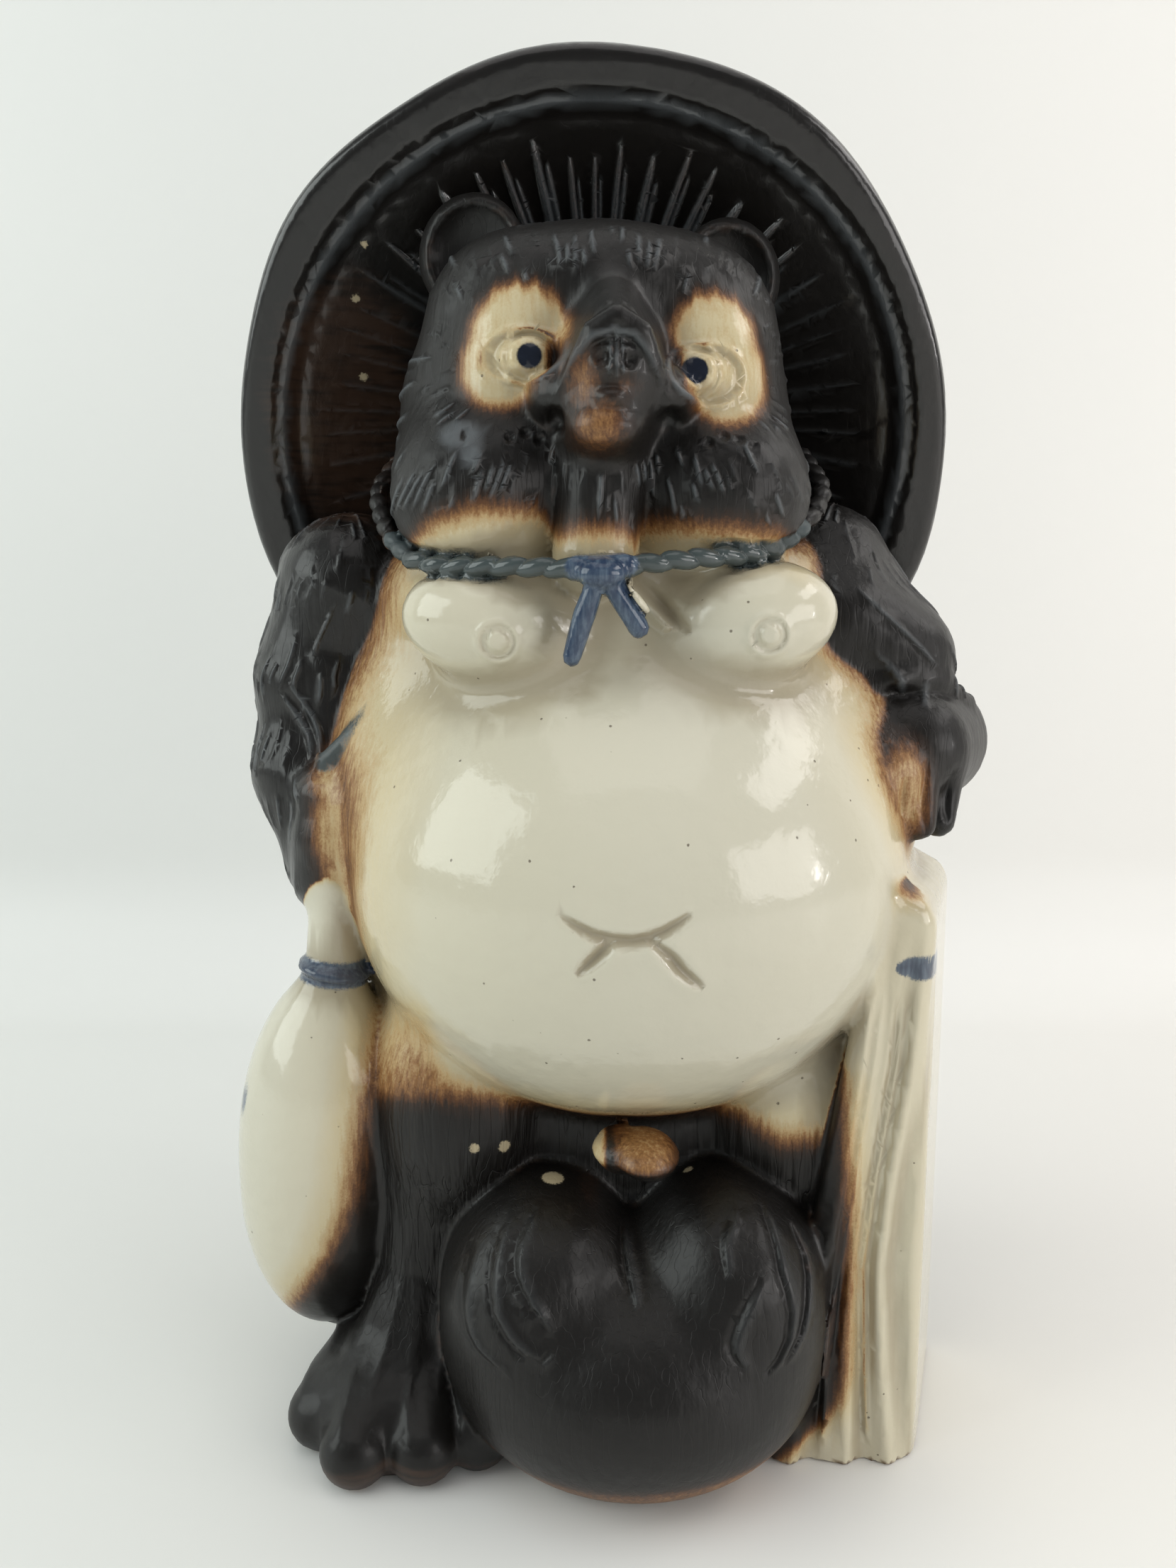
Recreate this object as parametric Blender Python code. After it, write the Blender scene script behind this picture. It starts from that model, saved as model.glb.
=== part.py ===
"""Figural sake bottle: a glazed stoneware tanuki with straw hat, flask and account book.

The body is one hollow casting.  Its outside is worked out as a field: a function that gives,
for any point, the distance to the surface, negative inside.  Eggs, limbs and blocks are blended
in that field like clay, and the surface where it is zero becomes a mesh.  The hollow is the same
field moved inwards by the wall.  Pose and proportions are hundredths of the figure's height;
walls, bore and neck are metres.
"""
import itertools
import math

import bmesh
import bpy
import numpy as np

# Driving sizes in metres
HEIGHT = 0.23
WALL = 0.004
FLOOR = 0.005
BORE = 0.02
NECK_WALL = 0.004
NECK_RISE = 0.011
LIP_SWELL = 0.0015
LIP_HEIGHT = 0.005
MOUTH_FLARE = 0.0015

# The neck's axis and the fineness of the meshes, in hundredths of the height
NECK_PLACE = (-1.35, 9.5)
OUTSIDE_CELL = 0.8
HOLLOW_CELL = 1.6
OUTSIDE_TRIANGLES = 8400
HOLLOW_TRIANGLES = 1500
NECK_SIDES = 32
HOLLOW_FILLET = 3.0

UNIT = HEIGHT / 100

# Heights that the neck's ends lie between, and the middle of the figure's footprint
ROOF_FROM, NECK_FROM = 70.0, 100.0
MIDDLE = (0.0, -2.0)


# Helpers for forms that blend into each other like clay

def vec(x, y, z):
    return np.array((x, y, z), np.float32)


def length(v):
    return np.sqrt(np.einsum("ij,ij->i", v, v))


def turned(roll=0.0, pitch=0.0, yaw=0.0):
    """Own axes, as columns, after turns in degrees about X, then Y, then Z."""
    x, y, z = (math.radians(angle) for angle in (roll, pitch, yaw))
    about_x = np.array(((1, 0, 0), (0, math.cos(x), -math.sin(x)), (0, math.sin(x), math.cos(x))))
    about_y = np.array(((math.cos(y), 0, math.sin(y)), (0, 1, 0), (-math.sin(y), 0, math.cos(y))))
    about_z = np.array(((math.cos(z), -math.sin(z), 0), (math.sin(z), math.cos(z), 0), (0, 0, 1)))
    return (about_z @ about_y @ about_x).astype(np.float32)


def local(p, centre, turn=None):
    q = p - np.asarray(centre, np.float32)
    return q if turn is None else q @ turn


def egg(p, centre, radii, turn=None):
    """Distance to an ellipsoid: k0 (k0 - 1) / k1, right near its surface."""
    q = local(p, centre, turn)
    r = np.asarray(radii, np.float32)
    k0 = length(q / r)
    k1 = length(q / (r * r)) + 1e-6
    return k0 * (k0 - 1) / k1


def limb(p, a, b, ra, rb):
    """Distance to a tapered limb with round ends from a to b."""
    a, b = np.asarray(a, np.float32), np.asarray(b, np.float32)
    ab = b - a
    t = np.clip((p - a) @ ab / float(ab @ ab), 0, 1)
    return length(p - a - t[:, None] * ab) - (ra + (rb - ra) * t)


def chain(p, points, radii):
    """Distance to limbs joined end to end."""
    d = limb(p, points[0], points[1], radii[0], radii[1])
    for i in range(1, len(points) - 1):
        d = np.minimum(d, limb(p, points[i], points[i + 1], radii[i], radii[i + 1]))
    return d


def block(p, centre, half, edge, turn=None):
    """Distance to a block with rounded edges."""
    q = np.abs(local(p, centre, turn)) - (np.asarray(half, np.float32) - edge)
    return length(np.maximum(q, 0)) + np.minimum(q.max(axis=1), 0) - edge


def join(a, b, k):
    """Union of a and b with a fillet of about k."""
    h = np.clip(0.5 + 0.5 * (b - a) / k, 0, 1)
    return b + (a - b) * h - k * h * (1 - h)


def cut(a, b, k):
    """a without b, its edge rounded by about k."""
    return -join(-a, b, k)


def within(p, low, high, part, margin=3.0):
    """part(p) inside the box from low to high and its margin, the distance to the box outside."""
    outside = np.maximum(np.maximum(np.asarray(low, np.float32) - p, p - np.asarray(high, np.float32)), 0)
    d = length(outside)
    close = d < margin
    if close.any():
        d[close] = part(p[close])
    return d


def smooth(x, low, high):
    t = np.clip((x - low) / (high - low), 0, 1)
    return t * t * (3 - 2 * t)


# The straw hat, a shallow cone behind the head, its rim leaning forward at the top

HAT_CENTRE = vec(-1.35, 4.5, 74.4)
HAT_LEAN = 20.0
HAT_RIM = 28.09
HAT_RING = 24.7
HAT_DEPTH = 13.0
HAT_THICK = 2.3


def hat_frame(p):
    """Distance from the hat's axis, depth behind the rim's plane, angle round the axis."""
    q = local(p, HAT_CENTRE, turned(roll=HAT_LEAN))
    return np.hypot(q[:, 0], q[:, 2]), q[:, 1], np.arctan2(q[:, 0], q[:, 2])


# The rim's unevenness: for so many waves round it, their cosine and sine shares
RIM_WAVES = ((1, 0.03, -0.08), (2, -0.01, -0.08), (3, 0.12, 0.01), (4, 0.14, 0.12), (5, -0.27, 0.07),
             (7, 0.23, -0.01), (8, -0.25, -0.08), (9, 0.21, -0.06), (10, -0.09, -0.01))


def hat(p):
    radius, depth, angle = hat_frame(p)
    wave = sum(a * np.cos(k * angle) + b * np.sin(k * angle) for k, a, b in RIM_WAVES)
    share = np.clip(radius / HAT_RING, 0, 1)
    dish = 0.72 * HAT_DEPTH * (1 - share) + 1.2 * (1 - share * share)
    dish = dish - 0.55 * smooth(radius, HAT_RING, HAT_RING + 1.0)
    outside = HAT_DEPTH * (1 - np.clip(radius / HAT_RIM, 0, 1) ** 1.25) + HAT_THICK
    d = 0.88 * np.maximum(dish - depth, depth - outside)
    return -join(-d, HAT_RIM + wave - radius, 1.1)


def ear(p, centre, radius, side):
    facing = turned(yaw=20.0 * side)
    d = egg(p, centre, (radius, 2.0, radius * 1.02), facing)
    inside = centre + vec(-0.15 * side, -1.6, -0.2)
    return cut(d, egg(p, inside, (0.82 * radius, 1.9, 0.83 * radius), facing), 0.4)


def skull(p):
    d = block(p, (-1.0, -2.2, 79.5), (12.5, 10.6, 8.6), 7.0, turned(pitch=3))
    d = join(d, egg(p, (-1.45, -3.0, 77.0), (14.0, 10.9, 8.0)), 2.0)
    d = join(d, egg(p, (-1.15, -4.0, 72.2), (14.8, 10.6, 7.2)), 2.5)
    d = join(d, egg(p, (-0.6, -8.0, 83.4), (8.8, 6.2, 4.6)), 2.0)
    return join(d, limb(p, (-1.0, 0.0, 79.0), (-1.35, 12.0, 72.5), 11.3, 8.5), 2.0)


def ruffs(p):
    """The two pouches of the cheeks and the beard between them."""
    d = egg(p, (-8.8, -9.4, 69.9), (6.6, 7.2, 6.4), turned(yaw=-8))
    d = np.minimum(d, egg(p, (6.9, -9.4, 70.0), (6.5, 7.2, 6.2), turned(yaw=8)))
    return join(d, limb(p, (-0.8, -14.9, 74.0), (-1.35, -14.3, 66.0), 2.3, 2.9), 0.5)


def snout(p):
    d = limb(p, (-0.5, -10.0, 80.6), (-0.2, -16.6, 77.0), 4.0, 3.1)
    d = join(d, limb(p, (-0.6, -11.0, 75.0), (-0.7, -16.3, 74.4), 3.6, 2.9), 1.0)
    d = join(d, limb(p, (-0.3, -12.0, 83.6), (-0.1, -18.2, 80.0), 1.0, 1.2), 2.0)
    d = join(d, egg(p, (-3.4, -14.9, 75.9), (2.3, 2.6, 2.0)), 0.9)
    d = join(d, egg(p, (2.9, -14.9, 75.9), (2.3, 2.6, 2.0)), 0.9)
    d = join(d, egg(p, (-0.75, -17.9, 73.6), (2.3, 2.0, 1.5)), 0.5)
    hood = ((-3.3, -16.6, 75.6), (-2.45, -18.4, 77.4), (-1.6, -19.2, 79.1), (-0.1, -19.5, 79.9),
            (1.4, -19.2, 79.1), (2.15, -18.4, 77.4), (2.9, -16.6, 75.7))
    d = join(d, chain(p, hood, (0.5, 0.65, 0.7, 0.75, 0.7, 0.65, 0.5)), 0.35)
    d = join(d, egg(p, (-0.15, -18.2, 77.3), (1.75, 1.7, 1.9)), 0.35)
    return join(d, egg(p, (-0.4, -18.9, 75.2), (1.15, 1.2, 0.75)), 0.35)


NOSTRILS = (vec(-1.0, -19.9, 77.5), vec(0.65, -19.9, 77.4))
EYES = (vec(-5.75, -12.6, 78.3), vec(5.2, -12.5, 77.4))


def head(p):
    d = skull(p)
    d = join(d, ruffs(p), 2.6)
    for side, x in ((-1, -3.5), (1, 2.9)):
        socket = limb(p, (x, -16.2, 82.2), (x + 0.5 * side, -16.4, 76.4), 1.5, 1.3)
        d = cut(d, socket, 1.4)
    d = join(d, snout(p), 0.9)
    for centre, side in zip(EYES, (-1, 1)):
        d = join(d, egg(p, centre + vec(0.9 * side, 0.9, 0.6), (3.5, 2.4, 4.4)), 1.8)
        d = join(d, egg(p, centre, (2.5, 2.7, 2.1)), 0.3)
    for x in (-3.9, 3.35):
        d = cut(d, egg(p, (x, -16.2, 74.2), (0.8, 1.3, 0.8)), 0.5)
    for nostril in NOSTRILS:
        d = cut(d, egg(p, nostril, (0.5, 0.6, 0.45)), 0.2)
    d = join(d, ear(p, vec(-10.3, -2.2, 87.6), 4.2, -1), 0.9)
    return join(d, ear(p, vec(8.5, -2.2, 86.1), 4.0, 1), 0.9)


# The body and what it carries

def torso(p):
    d = egg(p, (1.0, 2.5, 47.0), (20.5, 14.5, 25.0))
    d = join(d, egg(p, (0.0, 1.5, 62.5), (19.0, 14.5, 8.5)), 4.0)
    d = join(d, egg(p, (1.0, 3.0, 22.0), (18.0, 14.0, 24.0)), 5.0)
    d = join(d, egg(p, (-13.6, 0.0, 46.0), (8.7, 8.8, 19.0)), 2.0)
    d = join(d, egg(p, (16.0, 0.5, 50.0), (8.0, 8.8, 13.0)), 2.0)
    return join(d, block(p, (1.5, 0.5, 6.0), (15.5, 13.0, 12.0), 6.0), 3.0)


def belly(p):
    return egg(p, (1.3, -3.4, 42.3), (21.2, 20.6, 18.4))


# The fillet round the belly, at its foot and at its top where it runs into the chest
BELLY_FILLETS = (1.2, 7.0)


def trunk(p, least=0.0):
    """Torso and belly, joined with a fillet that grows upwards from a least one."""
    low, high = BELLY_FILLETS
    fillet = low + (high - low) * smooth(p[:, 2], 38.0, 52.0)
    return join(torso(p), belly(p), np.maximum(fillet, least))


BREASTS = ((vec(-8.2, -12.6, 61.4), (6.3, 4.6, 4.1), 7.0), (vec(9.1, -12.6, 61.5), (6.0, 4.6, 4.1), -9.0))


def breasts(p):
    first, second = (egg(p, centre, radii, turned(pitch=tip)) for centre, radii, tip in BREASTS)
    return np.minimum(first, second)


def flask_arm(p):
    """Image-left arm, hanging, with the hand round the flask's neck."""
    d = limb(p, (-20.2, 1.2, 63.4), (-23.1, 1.2, 57.0), 6.0, 4.6)
    d = join(d, limb(p, (-23.2, 1.0, 56.0), (-23.9, 0.0, 49.6), 4.3, 3.9), 2.5)
    d = join(d, limb(p, (-23.9, -0.4, 49.0), (-22.5, -2.8, 42.2), 3.8, 2.7), 2.5)
    d = join(d, limb(p, (-21.4, -2.4, 57.4), (-22.2, -3.6, 52.0), 1.6, 0.8), 0.8)
    d = join(d, egg(p, (-20.8, -4.2, 44.4), (3.5, 3.9, 6.4), turned(pitch=6)), 1.0)
    for height, reach in ((48.0, 0.0), (44.6, 0.3), (41.4, 0.2)):
        finger = limb(p, (-21.8, -5.4, height + 0.5), (-19.2 + reach, -6.6, height - 0.3), 1.9, 1.5)
        d = join(d, finger, 1.6)
    return d


HEM = ((17.6, -6.6, 56.4), (20.6, -7.4, 57.2), (24.2, -5.6, 56.9), (27.2, -2.2, 55.0))


def ledger_arm(p):
    """Image-right arm, bent, with the hand on the account book and the hem of its sleeve."""
    d = limb(p, (16.0, 1.0, 64.4), (21.5, 0.8, 58.0), 5.8, 4.5)
    sleeve = limb(p, (16.9, -4.0, 61.2), (21.5, -3.2, 58.4), 4.2, 4.2)
    d = join(d, sleeve, 3.0)
    fore = limb(p, (24.6, 0.2, 51.8), (22.2, -5.2, 51.9), 4.9, 4.5)
    fore = join(fore, egg(p, (19.8, -7.8, 50.0), (3.2, 3.2, 4.0)), 0.6)
    fingers = (((22.3, -7.4, 52.0), (22.0, -9.6, 47.0)), ((24.6, -5.8, 51.4), (23.9, -7.6, 46.8)))
    for knuckle, tip in fingers:
        fore = join(fore, limb(p, knuckle, tip, 1.8, 1.25), 0.5)
    d = join(d, fore, 0.6)
    return join(d, chain(p, HEM, (0.3, 0.6, 0.7, 0.5)), 0.8)


def flask(p):
    d = egg(p, (-22.5, -5.2, 17.6), (6.6, 6.5, 11.7))
    d = join(d, egg(p, (-21.9, -6.0, 26.5), (5.1, 5.0, 8.3)), 5.0)
    d = join(d, limb(p, (-21.3, -6.6, 30.0), (-20.9, -6.2, 41.0), 2.4, 1.9), 1.5)
    return join(d, egg(p, (-21.1, -6.5, 35.2), (2.75, 2.9, 0.9), turned(pitch=12)), 0.35)


LEDGER_CENTRE = vec(16.6, -7.4, 21.0)
LEDGER_HALF = (5.5, 7.6, 24.0)
LEDGER_FLARE = 0.33
LEDGER_SLANT = 0.155
# Each pleat's distance from the book's right edge at these heights
PLEAT_HEIGHTS = (0.0, 7.5, 15.4, 22.2, 30.6, 38.0)
PLEATS = ((1.8, 2.6, 3.2, 2.6, 1.4, 1.0), (5.0, 5.2, 5.2, 4.5, 3.3, 2.6), (9.0, 8.2, 6.8, 5.7, 4.6, 4.0))
PLEAT_CREST, PLEAT_TROUGH = 0.4, 0.5


def ledger(p):
    """The account book: flaring to the back, its left side slanting, its top rolled over, its front pleated."""
    q = local(p, LEDGER_CENTRE)
    q[:, 0] -= LEDGER_FLARE * (q[:, 1] + LEDGER_HALF[1])
    relief = 0.0
    for rail in PLEATS:
        beside = q[:, 0] - LEDGER_HALF[0] + np.interp(p[:, 2], PLEAT_HEIGHTS, rail)
        relief = relief + PLEAT_CREST * np.exp(-(beside / 0.6) ** 2)
        relief = relief - PLEAT_TROUGH * np.exp(-((beside - 1.2) / 0.7) ** 2)
    relief = relief * smooth(-q[:, 1], LEDGER_HALF[1] - 2.5, LEDGER_HALF[1]) * smooth(p[:, 2], 41.0, 33.0)
    roll = 0.87 * (q[:, 2] - 22.6) + 0.5 * (q[:, 0] - 2.4)
    slant = LEDGER_SLANT * p[:, 2] - LEDGER_HALF[0] - q[:, 0]
    inside = -join(relief - block(q, (0, 0, 0), LEDGER_HALF, 0.9), -roll, 1.5)
    return 0.95 * cut(inside, -slant, 1.5)


def legs(p):
    d = egg(p, (-11.6, -5.0, 25.0), (7.4, 8.6, 11.5))
    d = join(d, egg(p, (13.4, -5.0, 24.0), (7.4, 8.6, 12.0)), 2.0)
    shin = chain(p, ((-13.6, -6.0, 21.0), (-14.4, -8.2, 12.0), (-15.4, -9.4, 6.5)), (4.8, 3.5, 4.2))
    foot = join(shin, egg(p, (-16.6, -10.4, 2.6), (6.8, 7.0, 5.0)), 2.0)
    for x, y, splay in ((-21.8, -12.4, 3.0), (-18.6, -16.6, 1.6), (-13.8, -16.2, 0.2), (-10.0, -14.6, -1.0)):
        foot = join(foot, limb(p, (x + splay, y + 6.0, 6.6), (x, y, 2.3), 2.0, 2.6), 0.6)
    far = join(egg(p, (12.4, -7.0, 10.0), (5.0, 6.0, 12.0)), egg(p, (11.0, -8.5, 2.6), (4.6, 6.5, 4.2)), 2.0)
    return join(join(d, foot, 1.8), far, 2.0)


def pouch(p):
    d = egg(p, (1.6, -11.7, 8.0), (13.9, 12.8, 9.6))
    d = join(d, egg(p, (-5.4, -12.2, 13.0), (7.2, 9.2, 8.6), turned(pitch=14)), 2.0)
    d = join(d, egg(p, (8.7, -12.2, 13.3), (7.2, 9.2, 8.8), turned(pitch=-14)), 2.0)
    cleft = limb(p, (0.9, -17.5, 23.2), (2.2, -23.8, 13.0), 1.5, 0.2)
    return cut(d, cleft, 1.8)


def tail(p):
    d = limb(p, (0.8, 11.5, 27.5), (0.6, 14.0, 17.0), 2.6, 4.4)
    return join(d, egg(p, (0.2, 13.6, 9.5), (6.6, 6.0, 12.0)), 2.0)


CORD_POINTS = ((-16.6, 0.6, 73.0), (-17.2, -4.6, 70.0), (-13.8, -12.4, 65.6), (-7.0, -16.4, 65.1),
               (-1.3, -17.8, 65.0), (5.0, -16.4, 65.6), (10.8, -12.6, 66.4), (15.0, -6.0, 70.2), (14.6, 0.5, 73.6))
KNOT = vec(-1.0, -18.4, 64.6)


def along(points, steps):
    """Even steps along a curve through the points: a cubic through each four neighbours."""
    pts = np.array(points, float)
    ends = np.vstack((2 * pts[0] - pts[1], pts, 2 * pts[-1] - pts[-2]))
    t = np.linspace(0, len(pts) - 1, steps)
    i = np.minimum(t.astype(int), len(pts) - 2)
    f = (t - i)[:, None]
    a, b, c, e = ends[i], ends[i + 1], ends[i + 2], ends[i + 3]
    return 0.5 * (2 * b + (c - a) * f + (2 * a - 5 * b + 4 * c - e) * f ** 2 + (3 * b - a - 3 * c + e) * f ** 3)


def cord(p):
    d = chain(p, along(CORD_POINTS, 25), (0.85,) * 25)
    d = join(d, egg(p, KNOT, (1.6, 1.2, 1.05)), 0.3)
    d = np.minimum(d, chain(p, ((-1.3, -18.5, 64.2), (-2.1, -18.0, 62.0), (-2.9, -17.7, 59.3)), (0.6, 0.75, 0.6)))
    return np.minimum(d, limb(p, (-0.6, -18.5, 64.2), (1.4, -17.9, 61.2), 0.6, 0.7))


def strap(p):
    return limb(p, (-21.2, -5.8, 50.8), (-16.2, -7.2, 56.1), 0.85, 0.45)


def stub(p):
    d = egg(p, (2.2, -15.8, 24.3), (2.5, 3.2, 1.8), turned(pitch=12))
    return join(d, egg(p, (0.4, -15.0, 24.3), (2.0, 2.6, 1.8)), 0.2)


# Each form with the box it lies in and the fillet it joins the others with
FORMS = (
    (breasts, (-15, -20, 56), (16, -6, 67), 2.0),
    (legs, (-26, -20, -3), (22, 10, 38), 1.5),
    (tail, (-6, 7, -2), (7, 21, 32), 2.0),
    (head, (-17, -22, 62), (15, 22, 94), 1.0),
    (flask_arm, (-30, -11, 37), (-11, 8, 71), 1.0),
    (ledger_arm, (10, -14, 44), (31, 8, 73), 1.0),
    (flask, (-31, -13, 4), (-15, 3, 44), 0.8),
    (ledger, (9, -17, -3), (29, 2, 47), 0.8),
    (pouch, (-14, -26, -3), (18, 4, 24), 0.8),
    (stub, (-2, -20, 21), (6, -11, 28), 0.5),
    (cord, (-19, -22, 57), (18, 4, 77), 0.3),
    (strap, (-24, -12, 48), (-15, -4, 58), 0.3),
    (hat, (-31, -12, 44), (29, 24, 103), 0.8),
)


# The grids' box: all forms, the belly's front and the part below the ground that is cut off
REACH_LOW = np.min([low for _, low, _, _ in FORMS], axis=0) - (1.0, 1.0, 4.5)
REACH_HIGH = np.max([high for _, _, high, _ in FORMS], axis=0) + 1.0


def figure(p):
    """The whole figure, before the ground at height 0 cuts it level."""
    d = trunk(p)
    for form, low, high, fillet in FORMS:
        d = join(d, within(p, low, high, form), fillet)
    return d


# The forms thick enough to be hollow, with their boxes
ROOMS = ((skull, (-17, -15, 62), (15, 20, 90)), (legs, (-26, -20, -3), (22, 10, 38)),
         (pouch, (-14, -26, -3), (18, 4, 24)), (ledger, (9, -17, -3), (29, 2, 47)))


# The hollow inside

def hollow(p):
    """What the wall leaves of the body, the head and the thicker forms, before the floor."""
    d = trunk(p, HOLLOW_FILLET)
    for form, low, high in ROOMS:
        d = join(d, within(p, low, high, form, 4.0), HOLLOW_FILLET)
    return np.maximum(d, figure(p)) + WALL / UNIT


# From field to mesh

def slopes(field, p, step=0.05):
    """The field's gradient, by central differences."""
    shifts = np.eye(3, dtype=np.float32) * step
    return np.stack([field(p + shift) - field(p - shift) for shift in shifts], axis=1) / (2 * step)


def tetrahedra():
    """The six tetrahedra of a cube, as corner numbers whose bits are steps along X, Y and Z."""
    return [(0, 1 << a, (1 << a) | (1 << b), 7) for a, b, _ in itertools.permutations(range(3))]


def corner_place(corner):
    return np.array([(corner >> axis) & 1 for axis in range(3)])


def facing_out(corners, held, triangle):
    """The triangle's three cut edges, ordered so that its normal leaves the held corners."""
    places = [corner_place(corner) for corner in corners]
    a, b, c = ((places[i] + places[j]) / 2 for i, j in triangle)
    inner = np.mean([places[i] for i in held], axis=0)
    return triangle if np.dot(np.cross(b - a, c - a), a - inner) > 0 else triangle[::-1]


def cut_triangles(held):
    """Triangles that part the held corners of a tetrahedron from the rest, as triples of its edges."""
    rest = [i for i in range(4) if i not in held]
    edges = [tuple(sorted((i, j))) for i in held for j in rest]
    if len(edges) == 3:
        return [tuple(edges)]
    return [(edges[0], edges[1], edges[3]), (edges[0], edges[3], edges[2])]


def skin(field, low, high, cell):
    """Closed mesh of the field's zero surface: each cube of a grid is cut as six tetrahedra."""
    axes = [np.arange(a, b + cell, cell) for a, b in zip(low, high)]
    grid = np.stack(np.meshgrid(*axes, indexing="ij"), axis=-1).astype(np.float32)
    value = field(grid.reshape(-1, 3)).reshape(grid.shape[:3])
    inside = value < 0
    strides = np.array([inside[0].size, inside[0, 0].size, 1])
    flat_value, flat_inside = value.ravel(), inside.ravel()

    number = {}
    points = []
    count = 0
    for step in range(1, 8):
        place = corner_place(step)
        starts = inside[tuple(slice(0, n - d) for n, d in zip(inside.shape, place))]
        ends = inside[tuple(slice(d, n) for n, d in zip(inside.shape, place))]
        where = np.argwhere(starts != ends)
        index = where @ strides
        first, last = flat_value[index], flat_value[index + place @ strides]
        share = np.clip(first / (first - last), 0.02, 0.98)
        points.append(np.asarray(low) + cell * (where + share[:, None] * place))
        number[step] = np.full(inside.size, -1)
        number[step][index] = count + np.arange(len(where))
        count += len(where)

    size = np.array(inside.shape) - 1
    held = sum(inside[x:x + size[0], y:y + size[1], z:z + size[2]].astype(int)
               for x, y, z in itertools.product((0, 1), repeat=3))
    cubes = np.argwhere((held > 0) & (held < 8)) @ strides
    faces = []
    for corners in tetrahedra():
        offsets = [corner_place(corner) @ strides for corner in corners]
        state = sum(flat_inside[cubes + offset].astype(int) << i for i, offset in enumerate(offsets))
        for mask in range(1, 15):
            inner = [i for i in range(4) if mask >> i & 1]
            found = cubes[state == mask]
            for triangle in cut_triangles(inner):
                ordered = facing_out(corners, inner, triangle)
                faces.append(np.stack([number[corners[j] ^ corners[i]][found + offsets[i]]
                                       for i, j in ordered], axis=1))
    return settled(field, *largest_shell(np.concatenate(points), np.concatenate(faces)))


def largest_shell(points, faces):
    """The points and faces of the largest connected shell, without specks and closed pockets."""
    label = np.arange(len(points))
    while True:
        lowest = label[faces].min(axis=1)
        joined = label.copy()
        for corner in faces.T:
            np.minimum.at(joined, corner, lowest)
        joined = joined[joined]
        if (joined == label).all():
            break
        label = joined
    kept = label == np.bincount(label).argmax()
    renumbered = np.cumsum(kept) - 1
    return points[kept], renumbered[faces[kept[faces[:, 0]]]]


def settled(field, points, faces):
    """The same faces, their points moved along the field's slope onto its zero surface."""
    p = points.astype(np.float32)
    slope = slopes(field, p)
    steep = np.maximum(np.einsum("ij,ij->i", slope, slope), 0.25)
    return p - slope * (field(p) / steep)[:, None], faces


def crossing(field, x, y, low, high):
    """Height between low and high where the field changes sign on the upright line at x, y."""
    inside = field(np.array(((x, y, low),), np.float32))[0] < 0
    for _ in range(30):
        middle = (low + high) / 2
        if (field(np.array(((x, y, middle),), np.float32))[0] < 0) == inside:
            low = middle
        else:
            high = middle
    return low


# Objects

def placed(points):
    """Metres from the middle of the figure's footprint, for points in hundredths of the height."""
    return (points - np.array((*MIDDLE, 0.0))) * UNIT


def mesh_object(name, points, faces, material):
    mesh = bpy.data.meshes.new(name)
    mesh.from_pydata(points.tolist(), [], [list(face) for face in faces])
    mesh.materials.append(material)
    made = bpy.data.objects.new(name, mesh)
    bpy.context.collection.objects.link(made)
    return made


def clay(name, field, cell, triangles, material):
    """The field's surface as an object, thinned to about so many triangles."""
    points, faces = skin(field, REACH_LOW, REACH_HIGH, cell)
    made = mesh_object(name, placed(points), faces, material)
    thin = made.modifiers.new("Thin", "DECIMATE")
    thin.ratio = triangles / len(faces)
    return made


def turning(name, profile, material):
    """A solid turned round the neck's axis: profile runs from axis to axis as (radius, height) in metres."""
    bm = bmesh.new()
    centre = placed(np.array((*NECK_PLACE, 0.0)))
    ring = [bm.verts.new((centre[0] + radius, centre[1], height)) for radius, height in profile]
    edges = [bm.edges.new(pair) for pair in zip(ring[:-1], ring[1:])]
    bmesh.ops.spin(bm, geom=ring + edges, cent=centre, axis=(0, 0, 1), angle=math.tau,
                   steps=NECK_SIDES, use_merge=True)
    bmesh.ops.remove_doubles(bm, verts=bm.verts, dist=1e-6)
    bmesh.ops.recalc_face_normals(bm, faces=bm.faces)
    mesh = bpy.data.meshes.new(name)
    bm.to_mesh(mesh)
    bm.free()
    mesh.materials.append(material)
    made = bpy.data.objects.new(name, mesh)
    bpy.context.collection.objects.link(made)
    return made


def below(name, level):
    """A cutter for all that lies below a level."""
    bpy.ops.mesh.primitive_cube_add(size=2 * HEIGHT, location=(0, 0, level - HEIGHT))
    made = bpy.context.object
    made.name = name
    return made


def apply_tool(made, tool, operation):
    """Join or cut made with a tool that is itself left out of the part."""
    step = made.modifiers.new(tool.name, "BOOLEAN")
    step.operation = operation
    step.solver = "EXACT"
    step.object = tool
    tool.hide_render = True
    tool.display_type = "WIRE"


def neck_profile(seat, top):
    """Half outline of the solid neck with its rolled lip."""
    outer = BORE / 2 + NECK_WALL
    lip = outer + LIP_SWELL
    return ((0, seat), (outer, seat), (outer, top - LIP_HEIGHT - LIP_SWELL), (lip, top - LIP_HEIGHT),
            (lip, top - LIP_SWELL), (outer, top), (0, top))


def bore_profile(bottom, top):
    """Half outline of the bore's cutter, flaring at the mouth and on past it."""
    inner = BORE / 2
    return ((0, bottom), (inner, bottom), (inner, top - 2 * MOUTH_FLARE),
            (inner + 2 * MOUTH_FLARE, top + 2 * MOUTH_FLARE), (0, top + 2 * MOUTH_FLARE))


def glaze():
    material = bpy.data.materials.new("brown_glaze")
    material.use_nodes = True
    shader = material.node_tree.nodes["Principled BSDF"]
    shader.inputs["Base Color"].default_value = (0.035, 0.022, 0.014, 1.0)
    shader.inputs["Roughness"].default_value = 0.2
    shader.inputs["Metallic"].default_value = 0.0
    return material


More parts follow.
